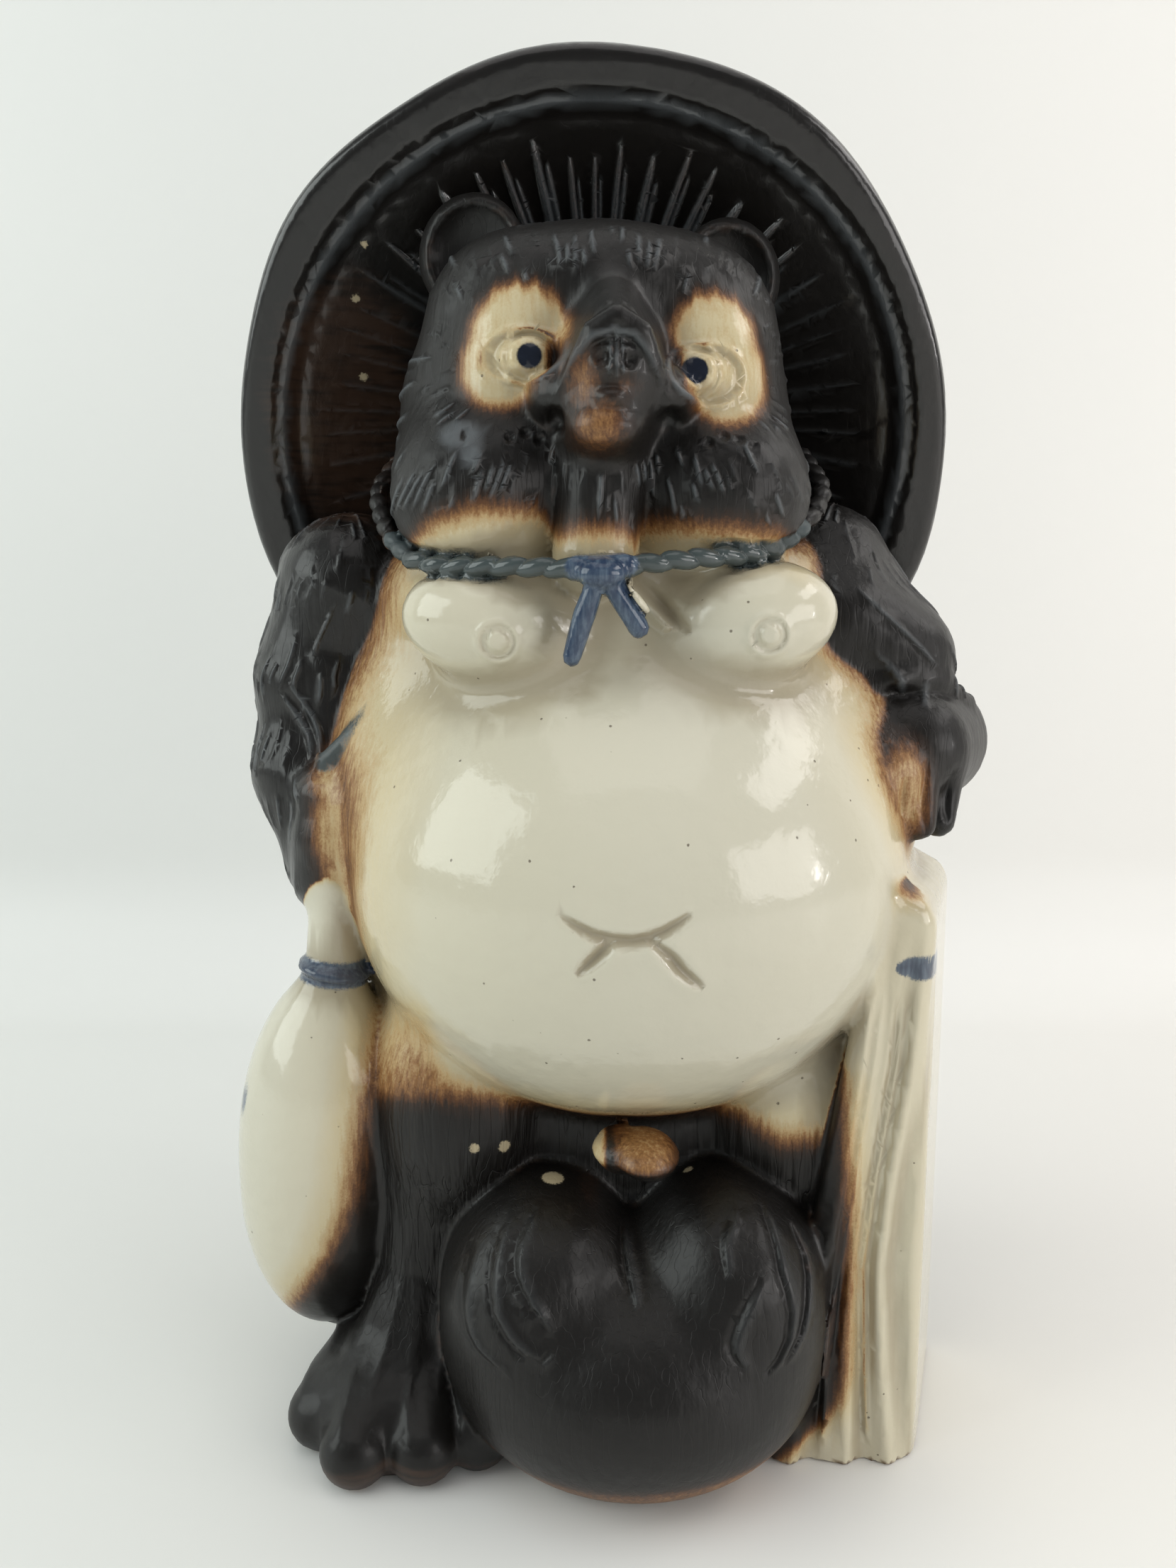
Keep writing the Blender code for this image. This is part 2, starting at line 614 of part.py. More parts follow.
def build():
    for old in list(bpy.data.objects):
        bpy.data.objects.remove(old, do_unlink=True)
    material = glaze()
    bottle = clay("tanuki_bottle", figure, OUTSIDE_CELL, OUTSIDE_TRIANGLES, material)
    inside = clay("hollow_cutter", hollow, HOLLOW_CELL, HOLLOW_TRIANGLES, material)
    roof = crossing(hollow, *NECK_PLACE, ROOF_FROM, NECK_FROM) * UNIT
    top = crossing(figure, *NECK_PLACE, ROOF_FROM, NECK_FROM) * UNIT + NECK_RISE
    neck = turning("neck_blank", neck_profile(roof - 2 * WALL, top), material)
    bore = turning("bore_cutter", bore_profile(roof - BORE, top), material)
    apply_tool(inside, below("floor_cutter", FLOOR), "DIFFERENCE")
    apply_tool(bottle, below("ground_cutter", 0.0), "DIFFERENCE")
    apply_tool(bottle, neck, "UNION")
    apply_tool(bottle, inside, "DIFFERENCE")
    apply_tool(bottle, bore, "DIFFERENCE")


build()
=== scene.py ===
"""Looks of a glazed stoneware sake bottle in the form of a tanuki.

One closed skin stands for the CAD solid.  Its shape is the part's own field, a function that gives
the distance to the surface, plus finer relief; the glaze is worked out on the skin's points as
smooth distances, which the material turns into cream, amber, brown and blue.
Places are in hundredths of the figure's height; placed() turns them into metres.
"""
import math

import bmesh
import bpy
import numpy as np
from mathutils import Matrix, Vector


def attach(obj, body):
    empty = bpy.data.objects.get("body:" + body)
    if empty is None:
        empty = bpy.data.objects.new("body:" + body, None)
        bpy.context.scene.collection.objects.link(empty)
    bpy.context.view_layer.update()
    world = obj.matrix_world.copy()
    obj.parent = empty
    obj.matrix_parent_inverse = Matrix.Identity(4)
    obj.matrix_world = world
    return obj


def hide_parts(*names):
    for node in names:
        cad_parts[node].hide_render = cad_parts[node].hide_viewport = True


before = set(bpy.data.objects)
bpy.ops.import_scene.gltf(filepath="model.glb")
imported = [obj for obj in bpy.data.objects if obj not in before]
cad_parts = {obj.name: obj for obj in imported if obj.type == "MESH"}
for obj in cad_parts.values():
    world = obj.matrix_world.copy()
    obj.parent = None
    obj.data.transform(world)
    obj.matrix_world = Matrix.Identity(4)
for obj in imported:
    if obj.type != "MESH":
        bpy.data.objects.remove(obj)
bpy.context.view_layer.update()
NODE = "tanuki_bottle"

# The part's sizes in metres, and the cell of the skin's grid in hundredths of the height
HEIGHT = 0.23
WALL = 0.004
FLOOR = 0.005
BORE = 0.02
NECK_WALL = 0.004
NECK_RISE = 0.011
LIP_SWELL = 0.0015
LIP_HEIGHT = 0.005
MOUTH_FLARE = 0.0015
UNIT = HEIGHT / 100
NECK_PLACE = (-1.35, 9.5)
MIDDLE = (0.0, -2.0)
HOLLOW_FILLET = 3.0
CELL = 0.45
SKIN_TRIANGLES = 110000
REFINE_PASSES = 3
SKIN_LOW, SKIN_HIGH = (-32.0, -27.5, -2.0), (33.0, 23.5, 103.0)


# Helpers for forms that blend into each other like clay

def vec(x, y, z):
    """A point or a size as a small array."""
    return np.array((x, y, z), np.float32)


def length(v):
    """The length of each row."""
    return np.sqrt(np.einsum("ij,ij->i", v, v))


def turned(roll=0.0, pitch=0.0, yaw=0.0):
    """Own axes, as columns, after turns in degrees about X, then Y, then Z."""
    x, y, z = (math.radians(angle) for angle in (roll, pitch, yaw))
    about_x = np.array(((1, 0, 0), (0, math.cos(x), -math.sin(x)), (0, math.sin(x), math.cos(x))))
    about_y = np.array(((math.cos(y), 0, math.sin(y)), (0, 1, 0), (-math.sin(y), 0, math.cos(y))))
    about_z = np.array(((math.cos(z), -math.sin(z), 0), (math.sin(z), math.cos(z), 0), (0, 0, 1)))
    return (about_z @ about_y @ about_x).astype(np.float32)


def local(p, centre, turn=None):
    """Points as a form sees them from its centre and turn."""
    q = p - np.asarray(centre, np.float32)
    return q if turn is None else q @ turn


def egg(p, centre, radii, turn=None):
    """Distance to an ellipsoid: k0 (k0 - 1) / k1, right near its surface."""
    q = local(p, centre, turn)
    r = np.asarray(radii, np.float32)
    k0 = length(q / r)
    k1 = length(q / (r * r)) + 1e-6
    return k0 * (k0 - 1) / k1


def limb(p, a, b, ra, rb):
    """Distance to a tapered limb with round ends from a to b."""
    a, b = np.asarray(a, np.float32), np.asarray(b, np.float32)
    ab = b - a
    t = np.clip((p - a) @ ab / float(ab @ ab), 0, 1)
    return length(p - a - t[:, None] * ab) - (ra + (rb - ra) * t)


def chain(p, points, radii):
    """Distance to limbs joined end to end."""
    d = limb(p, points[0], points[1], radii[0], radii[1])
    for i in range(1, len(points) - 1):
        d = np.minimum(d, limb(p, points[i], points[i + 1], radii[i], radii[i + 1]))
    return d


def block(p, centre, half, edge, turn=None):
    """Distance to a block with rounded edges."""
    q = np.abs(local(p, centre, turn)) - (np.asarray(half, np.float32) - edge)
    return length(np.maximum(q, 0)) + np.minimum(q.max(axis=1), 0) - edge


def join(a, b, k):
    """Union of a and b with a fillet of about k."""
    h = np.clip(0.5 + 0.5 * (b - a) / k, 0, 1)
    return b + (a - b) * h - k * h * (1 - h)


def cut(a, b, k):
    """a without b, its edge rounded by about k."""
    return -join(-a, b, k)


def within(p, low, high, part, margin=3.0):
    """part(p) inside the box from low to high and its margin, the distance to the box outside."""
    outside = np.maximum(np.maximum(np.asarray(low, np.float32) - p, p - np.asarray(high, np.float32)), 0)
    d = length(outside)
    close = d < margin
    if close.any():
        d[close] = part(p[close])
    return d


def smooth(x, low, high):
    """A soft slope from 0 at low to 1 at high; low may also be the greater."""
    t = np.clip((x - low) / (high - low), 0, 1)
    return t * t * (3 - 2 * t)


# The straw hat, a shallow cone behind the head, its rim leaning forward at the top

HAT_CENTRE = vec(-1.35, 4.5, 74.4)
HAT_LEAN = 20.0
HAT_RIM = 28.09
HAT_RING = 24.7
HAT_DEPTH = 13.0
HAT_THICK = 2.3


def hat_frame(p):
    """Distance from the hat's axis, depth behind the rim's plane, angle round the axis."""
    q = local(p, HAT_CENTRE, turned(roll=HAT_LEAN))
    return np.hypot(q[:, 0], q[:, 2]), q[:, 1], np.arctan2(q[:, 0], q[:, 2])


# The rim's unevenness: for so many waves round it, their cosine and sine shares
RIM_WAVES = ((1, 0.03, -0.08), (2, -0.01, -0.08), (3, 0.12, 0.01), (4, 0.14, 0.12), (5, -0.27, 0.07),
             (7, 0.23, -0.01), (8, -0.25, -0.08), (9, 0.21, -0.06), (10, -0.09, -0.01))


def hat(p):
    """The hat: a wide cone, hollow in front, with a step inside its ring and an uneven rim."""
    radius, depth, angle = hat_frame(p)
    wave = sum(a * np.cos(k * angle) + b * np.sin(k * angle) for k, a, b in RIM_WAVES)
    share = np.clip(radius / HAT_RING, 0, 1)
    dish = 0.72 * HAT_DEPTH * (1 - share) + 1.2 * (1 - share * share)
    dish = dish - 0.55 * smooth(radius, HAT_RING, HAT_RING + 1.0)
    outside = HAT_DEPTH * (1 - np.clip(radius / HAT_RIM, 0, 1) ** 1.25) + HAT_THICK
    d = 0.88 * np.maximum(dish - depth, depth - outside)
    return -join(-d, HAT_RIM + wave - radius, 1.1)


def ear(p, centre, radius, side):
    """A round ear, hollow in front; side is -1 at the picture's left and 1 at its right."""
    facing = turned(yaw=20.0 * side)
    d = egg(p, centre, (radius, 2.0, radius * 1.02), facing)
    inside = centre + vec(-0.15 * side, -1.6, -0.2)
    return cut(d, egg(p, inside, (0.82 * radius, 1.9, 0.83 * radius), facing), 0.4)


def skull(p):
    """The head's mass from brow to jaw, and back into the hat."""
    d = block(p, (-1.0, -2.2, 79.5), (12.5, 10.6, 8.6), 7.0, turned(pitch=3))
    d = join(d, egg(p, (-1.45, -3.0, 77.0), (14.0, 10.9, 8.0)), 2.0)
    d = join(d, egg(p, (-1.15, -4.0, 72.2), (14.8, 10.6, 7.2)), 2.5)
    d = join(d, egg(p, (-0.6, -8.0, 83.4), (8.8, 6.2, 4.6)), 2.0)
    return join(d, limb(p, (-1.0, 0.0, 79.0), (-1.35, 12.0, 72.5), 11.3, 8.5), 2.0)


def ruffs(p):
    """The two pouches of the cheeks and the beard between them."""
    d = egg(p, (-8.8, -9.4, 69.9), (6.6, 7.2, 6.4), turned(yaw=-8))
    d = np.minimum(d, egg(p, (6.9, -9.4, 70.0), (6.5, 7.2, 6.2), turned(yaw=8)))
    return join(d, limb(p, (-0.8, -14.9, 74.0), (-1.35, -14.3, 66.0), 2.3, 2.9), 0.5)


def snout(p):
    """Muzzle, bridge, the wings of the nose, upper lip and the hood arched over the nose."""
    d = limb(p, (-0.5, -10.0, 80.6), (-0.2, -16.6, 77.0), 4.0, 3.1)
    d = join(d, limb(p, (-0.6, -11.0, 75.0), (-0.7, -16.3, 74.4), 3.6, 2.9), 1.0)
    d = join(d, limb(p, (-0.3, -12.0, 83.6), (-0.1, -18.2, 80.0), 1.0, 1.2), 2.0)
    d = join(d, egg(p, (-3.4, -14.9, 75.9), (2.3, 2.6, 2.0)), 0.9)
    d = join(d, egg(p, (2.9, -14.9, 75.9), (2.3, 2.6, 2.0)), 0.9)
    d = join(d, egg(p, (-0.75, -17.9, 73.6), (2.3, 2.0, 1.5)), 0.5)
    hood = ((-3.3, -16.6, 75.6), (-2.45, -18.4, 77.4), (-1.6, -19.2, 79.1), (-0.1, -19.5, 79.9),
            (1.4, -19.2, 79.1), (2.15, -18.4, 77.4), (2.9, -16.6, 75.7))
    d = join(d, chain(p, hood, (0.5, 0.65, 0.7, 0.75, 0.7, 0.65, 0.5)), 0.35)
    d = join(d, egg(p, (-0.15, -18.2, 77.3), (1.75, 1.7, 1.9)), 0.35)
    return join(d, egg(p, (-0.4, -18.9, 75.2), (1.15, 1.2, 0.75)), 0.35)


NOSTRILS = (vec(-1.0, -19.9, 77.5), vec(0.65, -19.9, 77.4))
EARS = ((vec(-10.3, -2.2, 87.6), 4.2, -1), (vec(8.5, -2.2, 86.1), 4.0, 1))
EYES = (vec(-5.75, -12.6, 78.3), vec(5.2, -12.5, 77.4))


def head(p):
    """The whole head: skull, cheeks, sockets, snout, eyes, nostrils and ears."""
    d = skull(p)
    d = join(d, ruffs(p), 2.6)
    for side, x in ((-1, -3.5), (1, 2.9)):
        socket = limb(p, (x, -16.2, 82.2), (x + 0.5 * side, -16.4, 76.4), 1.5, 1.3)
        d = cut(d, socket, 1.4)
    d = join(d, snout(p), 0.9)
    for centre, side in zip(EYES, (-1, 1)):
        d = join(d, egg(p, centre + vec(0.9 * side, 0.9, 0.6), (3.5, 2.4, 4.4)), 1.8)
        d = join(d, egg(p, centre, (2.5, 2.7, 2.1)), 0.3)
    for x in (-3.9, 3.35):
        d = cut(d, egg(p, (x, -16.2, 74.2), (0.8, 1.3, 0.8)), 0.5)
    for nostril in NOSTRILS:
        d = cut(d, egg(p, nostril, (0.5, 0.6, 0.45)), 0.2)
    for centre, radius, side in EARS:
        d = join(d, ear(p, centre, radius, side), 0.9)
    return d


# The body and what it carries

def torso(p):
    """Chest, hips, flanks and base, without the belly."""
    d = egg(p, (1.0, 2.5, 47.0), (20.5, 14.5, 25.0))
    d = join(d, egg(p, (0.0, 1.5, 62.5), (19.0, 14.5, 8.5)), 4.0)
    d = join(d, egg(p, (1.0, 3.0, 22.0), (18.0, 14.0, 24.0)), 5.0)
    d = join(d, egg(p, (-13.6, 0.0, 46.0), (8.7, 8.8, 19.0)), 2.0)
    d = join(d, egg(p, (16.0, 0.5, 50.0), (8.0, 8.8, 13.0)), 2.0)
    return join(d, block(p, (1.5, 0.5, 6.0), (15.5, 13.0, 12.0), 6.0), 3.0)


def belly(p):
    """The round belly."""
    return egg(p, (1.3, -3.4, 42.3), (21.2, 20.6, 18.4))


# The fillet round the belly, at its foot and at its top where it runs into the chest
BELLY_FILLETS = (1.2, 7.0)


def trunk(p, least=0.0):
    """Torso and belly, joined with a fillet that grows upwards from a least one."""
    low, high = BELLY_FILLETS
    fillet = low + (high - low) * smooth(p[:, 2], 38.0, 52.0)
    return join(torso(p), belly(p), np.maximum(fillet, least))


BREASTS = ((vec(-8.2, -12.6, 61.4), (6.3, 4.6, 4.1), 7.0), (vec(9.1, -12.6, 61.5), (6.0, 4.6, 4.1), -9.0))


def breasts(p):
    """The two breasts, tipped outwards."""
    first, second = (egg(p, centre, radii, turned(pitch=tip)) for centre, radii, tip in BREASTS)
    return np.minimum(first, second)


def flask_arm(p):
    """Image-left arm, hanging, with the hand round the flask's neck."""
    d = limb(p, (-20.2, 1.2, 63.4), (-23.1, 1.2, 57.0), 6.0, 4.6)
    d = join(d, limb(p, (-23.2, 1.0, 56.0), (-23.9, 0.0, 49.6), 4.3, 3.9), 2.5)
    d = join(d, limb(p, (-23.9, -0.4, 49.0), (-22.5, -2.8, 42.2), 3.8, 2.7), 2.5)
    d = join(d, limb(p, (-21.4, -2.4, 57.4), (-22.2, -3.6, 52.0), 1.6, 0.8), 0.8)
    d = join(d, egg(p, (-20.8, -4.2, 44.4), (3.5, 3.9, 6.4), turned(pitch=6)), 1.0)
    for height, reach in ((48.0, 0.0), (44.6, 0.3), (41.4, 0.2)):
        finger = limb(p, (-21.8, -5.4, height + 0.5), (-19.2 + reach, -6.6, height - 0.3), 1.9, 1.5)
        d = join(d, finger, 1.6)
    return d


HEM = ((17.6, -6.6, 56.4), (20.6, -7.4, 57.2), (24.2, -5.6, 56.9), (27.2, -2.2, 55.0))


def ledger_arm(p):
    """Image-right arm, bent, with the hand on the account book and the hem of its sleeve."""
    d = limb(p, (16.0, 1.0, 64.4), (21.5, 0.8, 58.0), 5.8, 4.5)
    sleeve = limb(p, (16.9, -4.0, 61.2), (21.5, -3.2, 58.4), 4.2, 4.2)
    d = join(d, sleeve, 3.0)
    fore = limb(p, (24.6, 0.2, 51.8), (22.2, -5.2, 51.9), 4.9, 4.5)
    fore = join(fore, egg(p, (19.8, -7.8, 50.0), (3.2, 3.2, 4.0)), 0.6)
    fingers = (((22.3, -7.4, 52.0), (22.0, -9.6, 47.0)), ((24.6, -5.8, 51.4), (23.9, -7.6, 46.8)))
    for knuckle, tip in fingers:
        fore = join(fore, limb(p, knuckle, tip, 1.8, 1.25), 0.5)
    d = join(d, fore, 0.6)
    return join(d, chain(p, HEM, (0.3, 0.6, 0.7, 0.5)), 0.8)


def flask(p):
    """The flask, with a neck and a band round it."""
    d = egg(p, (-22.5, -5.2, 17.6), (6.6, 6.5, 11.7))
    d = join(d, egg(p, (-21.9, -6.0, 26.5), (5.1, 5.0, 8.3)), 5.0)
    d = join(d, limb(p, (-21.3, -6.6, 30.0), (-20.9, -6.2, 41.0), 2.4, 1.9), 1.5)
    return join(d, egg(p, (-21.1, -6.5, 35.2), (2.75, 2.9, 0.9), turned(pitch=12)), 0.35)


LEDGER_CENTRE = vec(16.6, -7.4, 21.0)
LEDGER_HALF = (5.5, 7.6, 24.0)
LEDGER_FLARE = 0.33
LEDGER_SLANT = 0.155
# Each pleat's distance from the book's right edge at these heights
PLEAT_HEIGHTS = (0.0, 7.5, 15.4, 22.2, 30.6, 38.0)
PLEATS = ((1.8, 2.6, 3.2, 2.6, 1.4, 1.0), (5.0, 5.2, 5.2, 4.5, 3.3, 2.6), (9.0, 8.2, 6.8, 5.7, 4.6, 4.0))
PLEAT_CREST, PLEAT_TROUGH = 0.4, 0.5


def book_place(p):
    """Points in the book's own frame, whose first axis runs to its right side."""
    q = local(p, LEDGER_CENTRE)
    q[:, 0] -= LEDGER_FLARE * (q[:, 1] + LEDGER_HALF[1])
    return q


def ledger(p):
    """The account book: flaring to the back, its left side slanting, its top rolled, its front pleated."""
    q = book_place(p)
    relief = 0.0
    for rail in PLEATS:
        beside = q[:, 0] - LEDGER_HALF[0] + np.interp(p[:, 2], PLEAT_HEIGHTS, rail)
        relief = relief + PLEAT_CREST * np.exp(-(beside / 0.6) ** 2)
        relief = relief - PLEAT_TROUGH * np.exp(-((beside - 1.2) / 0.7) ** 2)
    relief = relief * smooth(-q[:, 1], LEDGER_HALF[1] - 2.5, LEDGER_HALF[1]) * smooth(p[:, 2], 41.0, 33.0)
    roll = 0.87 * (q[:, 2] - 22.6) + 0.5 * (q[:, 0] - 2.4)
    slant = LEDGER_SLANT * p[:, 2] - LEDGER_HALF[0] - q[:, 0]
    inside = -join(relief - block(q, (0, 0, 0), LEDGER_HALF, 0.9), -roll, 1.5)
    return 0.95 * cut(inside, -slant, 1.5)


def legs(p):
    """Thighs, the near foot with its toes, and the far foot."""
    d = egg(p, (-11.6, -5.0, 25.0), (7.4, 8.6, 11.5))
    d = join(d, egg(p, (13.4, -5.0, 24.0), (7.4, 8.6, 12.0)), 2.0)
    shin = chain(p, ((-13.6, -6.0, 21.0), (-14.4, -8.2, 12.0), (-15.4, -9.4, 6.5)), (4.8, 3.5, 4.2))
    foot = join(shin, egg(p, (-16.6, -10.4, 2.6), (6.8, 7.0, 5.0)), 2.0)
    for x, y, splay in ((-21.8, -12.4, 3.0), (-18.6, -16.6, 1.6), (-13.8, -16.2, 0.2), (-10.0, -14.6, -1.0)):
        foot = join(foot, limb(p, (x + splay, y + 6.0, 6.6), (x, y, 2.3), 2.0, 2.6), 0.6)
    far = join(egg(p, (12.4, -7.0, 10.0), (5.0, 6.0, 12.0)), egg(p, (11.0, -8.5, 2.6), (4.6, 6.5, 4.2)), 2.0)
    return join(join(d, foot, 1.8), far, 2.0)


def pouch(p):
    """The pouch: a wide base, two bulges over it and a cleft between them."""
    d = egg(p, (1.6, -11.7, 8.0), (13.9, 12.8, 9.6))
    d = join(d, egg(p, (-5.4, -12.2, 13.0), (7.2, 9.2, 8.6), turned(pitch=14)), 2.0)
    d = join(d, egg(p, (8.7, -12.2, 13.3), (7.2, 9.2, 8.8), turned(pitch=-14)), 2.0)
    cleft = limb(p, (0.9, -17.5, 23.2), (2.2, -23.8, 13.0), 1.5, 0.2)
    return cut(d, cleft, 1.8)


def tail(p):
    """The short tail behind, down to the ground."""
    d = limb(p, (0.8, 11.5, 27.5), (0.6, 14.0, 17.0), 2.6, 4.4)
    return join(d, egg(p, (0.2, 13.6, 9.5), (6.6, 6.0, 12.0)), 2.0)


CORD_POINTS = ((-16.6, 0.6, 73.0), (-17.2, -4.6, 70.0), (-13.8, -12.4, 65.6), (-7.0, -16.4, 65.1),
               (-1.3, -17.8, 65.0), (5.0, -16.4, 65.6), (10.8, -12.6, 66.4), (15.0, -6.0, 70.2),
               (14.6, 0.5, 73.6))
KNOT = vec(-1.0, -18.4, 64.6)


def along(points, steps):
    """Even steps along a curve through the points: a cubic through each four neighbours."""
    pts = np.array(points, float)
    ends = np.vstack((2 * pts[0] - pts[1], pts, 2 * pts[-1] - pts[-2]))
    t = np.linspace(0, len(pts) - 1, steps)
    i = np.minimum(t.astype(int), len(pts) - 2)
    f = (t - i)[:, None]
    a, b, c, e = ends[i], ends[i + 1], ends[i + 2], ends[i + 3]
    bend = 2 * a - 5 * b + 4 * c - e
    swing = 3 * b - a - 3 * c + e
    return 0.5 * (2 * b + (c - a) * f + bend * f ** 2 + swing * f ** 3)


def cord(p):
    """The rope collar with its knot and two hanging ends."""
    d = chain(p, along(CORD_POINTS, 25), (0.85,) * 25)
    d = join(d, egg(p, KNOT, (1.6, 1.2, 1.05)), 0.3)
    long_end = ((-1.3, -18.5, 64.2), (-2.1, -18.0, 62.0), (-2.9, -17.7, 59.3))
    d = np.minimum(d, chain(p, long_end, (0.6, 0.75, 0.6)))
    return np.minimum(d, limb(p, (-0.6, -18.5, 64.2), (1.4, -17.9, 61.2), 0.6, 0.7))


def strap(p):
    """The flask's strap over the wrist."""
    return limb(p, (-21.2, -5.8, 50.8), (-16.2, -7.2, 56.1), 0.85, 0.45)


def stub(p):
    """The short stub between belly and pouch."""
    d = egg(p, (2.2, -15.8, 24.3), (2.5, 3.2, 1.8), turned(pitch=12))
    return join(d, egg(p, (0.4, -15.0, 24.3), (2.0, 2.6, 1.8)), 0.2)


# Each form with the box it lies in and the fillet it joins the others with
FORMS = (
    (breasts, (-15, -20, 56), (16, -6, 67), 2.0),
    (legs, (-26, -20, -3), (22, 10, 38), 1.5),
    (tail, (-6, 7, -2), (7, 21, 32), 2.0),
    (head, (-17, -22, 62), (15, 22, 94), 1.0),
    (flask_arm, (-30, -11, 37), (-11, 8, 71), 1.0),
    (ledger_arm, (10, -14, 44), (31, 8, 73), 1.0),
    (flask, (-31, -13, 4), (-15, 3, 44), 0.8),
    (ledger, (9, -17, -3), (29, 2, 47), 0.8),
    (pouch, (-14, -26, -3), (18, 4, 24), 0.8),
    (stub, (-2, -20, 21), (6, -11, 28), 0.5),
    (cord, (-19, -22, 57), (18, 4, 77), 0.3),
    (strap, (-24, -12, 48), (-15, -4, 58), 0.3),
    (hat, (-31, -12, 44), (29, 24, 103), 0.8),
)


def figure(p):
    """The whole figure, before the ground at height 0 cuts it level."""
    d = trunk(p)
    for form, low, high, fillet in FORMS:
        d = join(d, within(p, low, high, form), fillet)
    return d


# The forms thick enough to be hollow, with their boxes
ROOMS = ((skull, (-17, -15, 62), (15, 20, 90)), (legs, (-26, -20, -3), (22, 10, 38)),
         (pouch, (-14, -26, -3), (18, 4, 24)), (ledger, (9, -17, -3), (29, 2, 47)))


# The hollow inside

def hollow(p):
    """What the wall leaves of the body, the head and the thicker forms, before the floor."""
    d = trunk(p, HOLLOW_FILLET)
    for form, low, high in ROOMS:
        d = join(d, within(p, low, high, form, 4.0), HOLLOW_FILLET)
    return np.maximum(d, figure(p)) + WALL / UNIT


def slopes(field, p, step=0.05):
    """The field's gradient, by central differences."""
    shifts = np.eye(3, dtype=np.float32) * step
    return np.stack([field(p + shift) - field(p - shift) for shift in shifts], axis=1) / (2 * step)


def crossing(field, x, y, low, high):
    """Height between low and high where the field changes sign on the upright line at x, y."""
    inside = field(np.array(((x, y, low),), np.float32))[0] < 0
    for _ in range(30):
        middle = (low + high) / 2
        if (field(np.array(((x, y, middle),), np.float32))[0] < 0) == inside:
            low = middle
        else:
            high = middle
    return low


# Fine relief, as heights above the part's own surface

def front_reach(p, x, z, wide=1.0, high=1.0):
    """Distance from (x, z) when seen from the front, as a share of a half width and a half height."""
    return np.hypot((p[:, 0] - x) / wide, (p[:, 2] - z) / high)


def ridge(distance, width):
    """A soft ridge: 1 on its line, falling off as a bell of this width."""
    return np.exp(-(distance / width) ** 2)


def flat_line(p, points):
    """Distance in the XZ plane to a line through points given as (x, z)."""
    q = p[:, (0, 2)]
    d = np.full(len(p), 1e3, np.float32)
    for a, b in zip(points[:-1], points[1:]):
        a, b = np.asarray(a, np.float32), np.asarray(b, np.float32)
        ab = b - a
        t = np.clip((q - a) @ ab / float(ab @ ab), 0, 1)
        d = np.minimum(d, length(q - a - t[:, None] * ab))
    return d


def tapered(p, points, width):
    """A ridge of 1 along a smooth curve through (x, z) points, thinning to nothing at both ends."""
    path = along([(x, 0.0, z) for x, z in points], 9)[:, (0, 2)]
    q = p[:, (0, 2)]
    best, place = np.full(len(p), 1e3), np.zeros(len(p))
    for number, (a, b) in enumerate(zip(path[:-1], path[1:])):
        ab = b - a
        t = np.clip((q - a) @ ab / float(ab @ ab), 0, 1)
        d = length(q - a - t[:, None] * ab)
        place = np.where(d < best, (number + t) / 8, place)
        best = np.minimum(best, d)
    thin = np.clip(4 * place * (1 - place), 0, 1) ** 0.6
    return ridge(best, width * (0.35 + 0.65 * thin)) * thin


def hairs(across, lengthways, spacing, reach):
    """Raised hairs in columns: each column has its own start, each hair its own length."""
    column = np.round(across / spacing)
    start = 0.5 * np.sin(78.2 * column)
    row = np.round(lengthways / reach + start)
    beside = across - column * spacing + 0.13 * spacing * np.sin(1.3 * lengthways + 5 * column)
    beyond = np.abs(lengthways - (row - start) * reach)
    half = reach * (0.32 + 0.13 * np.sin(2.9 * column + 5.3 * row))
    here = 0.5 + 0.5 * (np.sin(3.7 * column + 9.1 * row) > -0.2)
    return here * ridge(beside, 0.15) * smooth(beyond, half, 0.2 * half)


# Turn from one rib under the hat to the next
RIB_TURN = math.radians(6.4)


def hat_lines(p):
    """On the hat's inside rings next to its rim and ribs from the head; on its outside faint folds."""
    radius, depth, angle = hat_frame(p)
    side = HAT_DEPTH * (1 - np.clip(radius / HAT_RIM, 0, 1)) + 1.2 - depth
    inner = smooth(side, -0.6, 0.4)
    close = smooth(side, 4.0, 3.3)
    ring = HAT_RING - 0.1 + 0.12 * np.sin(3 * angle + 1.0)
    h = 0.15 * ridge(radius - ring, 0.5) - 0.12 * ridge(radius - ring + 1.1, 0.5)
    place = (angle + 0.03 * np.sin(5 * angle) + 0.012 * np.sin(17 * angle)) / RIB_TURN
    number = np.round(place)
    beside = (place - number) * RIB_TURN * radius
    end = 22.2 + 0.5 * np.sin(2.3 * number) - 0.4 * np.cos(1.1 * number)
    taper = np.clip((end - radius) / 4.5, 0, 1)
    partner = 0.7 * ridge(beside - 0.55, 0.1 + 0.08 * taper) * smooth(end - radius, 1.6, 3.0)
    rib = ridge(beside, 0.1 + 0.14 * taper) + partner
    front = smooth(np.cos(angle), 0.55, 0.85)
    reach = smooth(end - radius, 0.0, 1.6) * smooth(radius, 11.0, 14.0)
    folds = 0.07 * np.sin(32 * angle) * smooth(radius, 4.0, 12.0) * smooth(HAT_RIM - 1.5 - radius, 0.0, 1.5)
    return inner * close * (h + (0.1 + 0.28 * front) * rib * reach) + (1 - inner) * folds


# Pupils as (x, z, radius), and the lids' outlines as (x, z) and half sizes
PUPILS = ((-5.6, 78.4, 0.8), (5.0, 77.5, 0.86))
LIDS = (((-6.0, 78.5), (2.75, 1.75)), ((5.9, 77.3), (2.6, 2.0)))


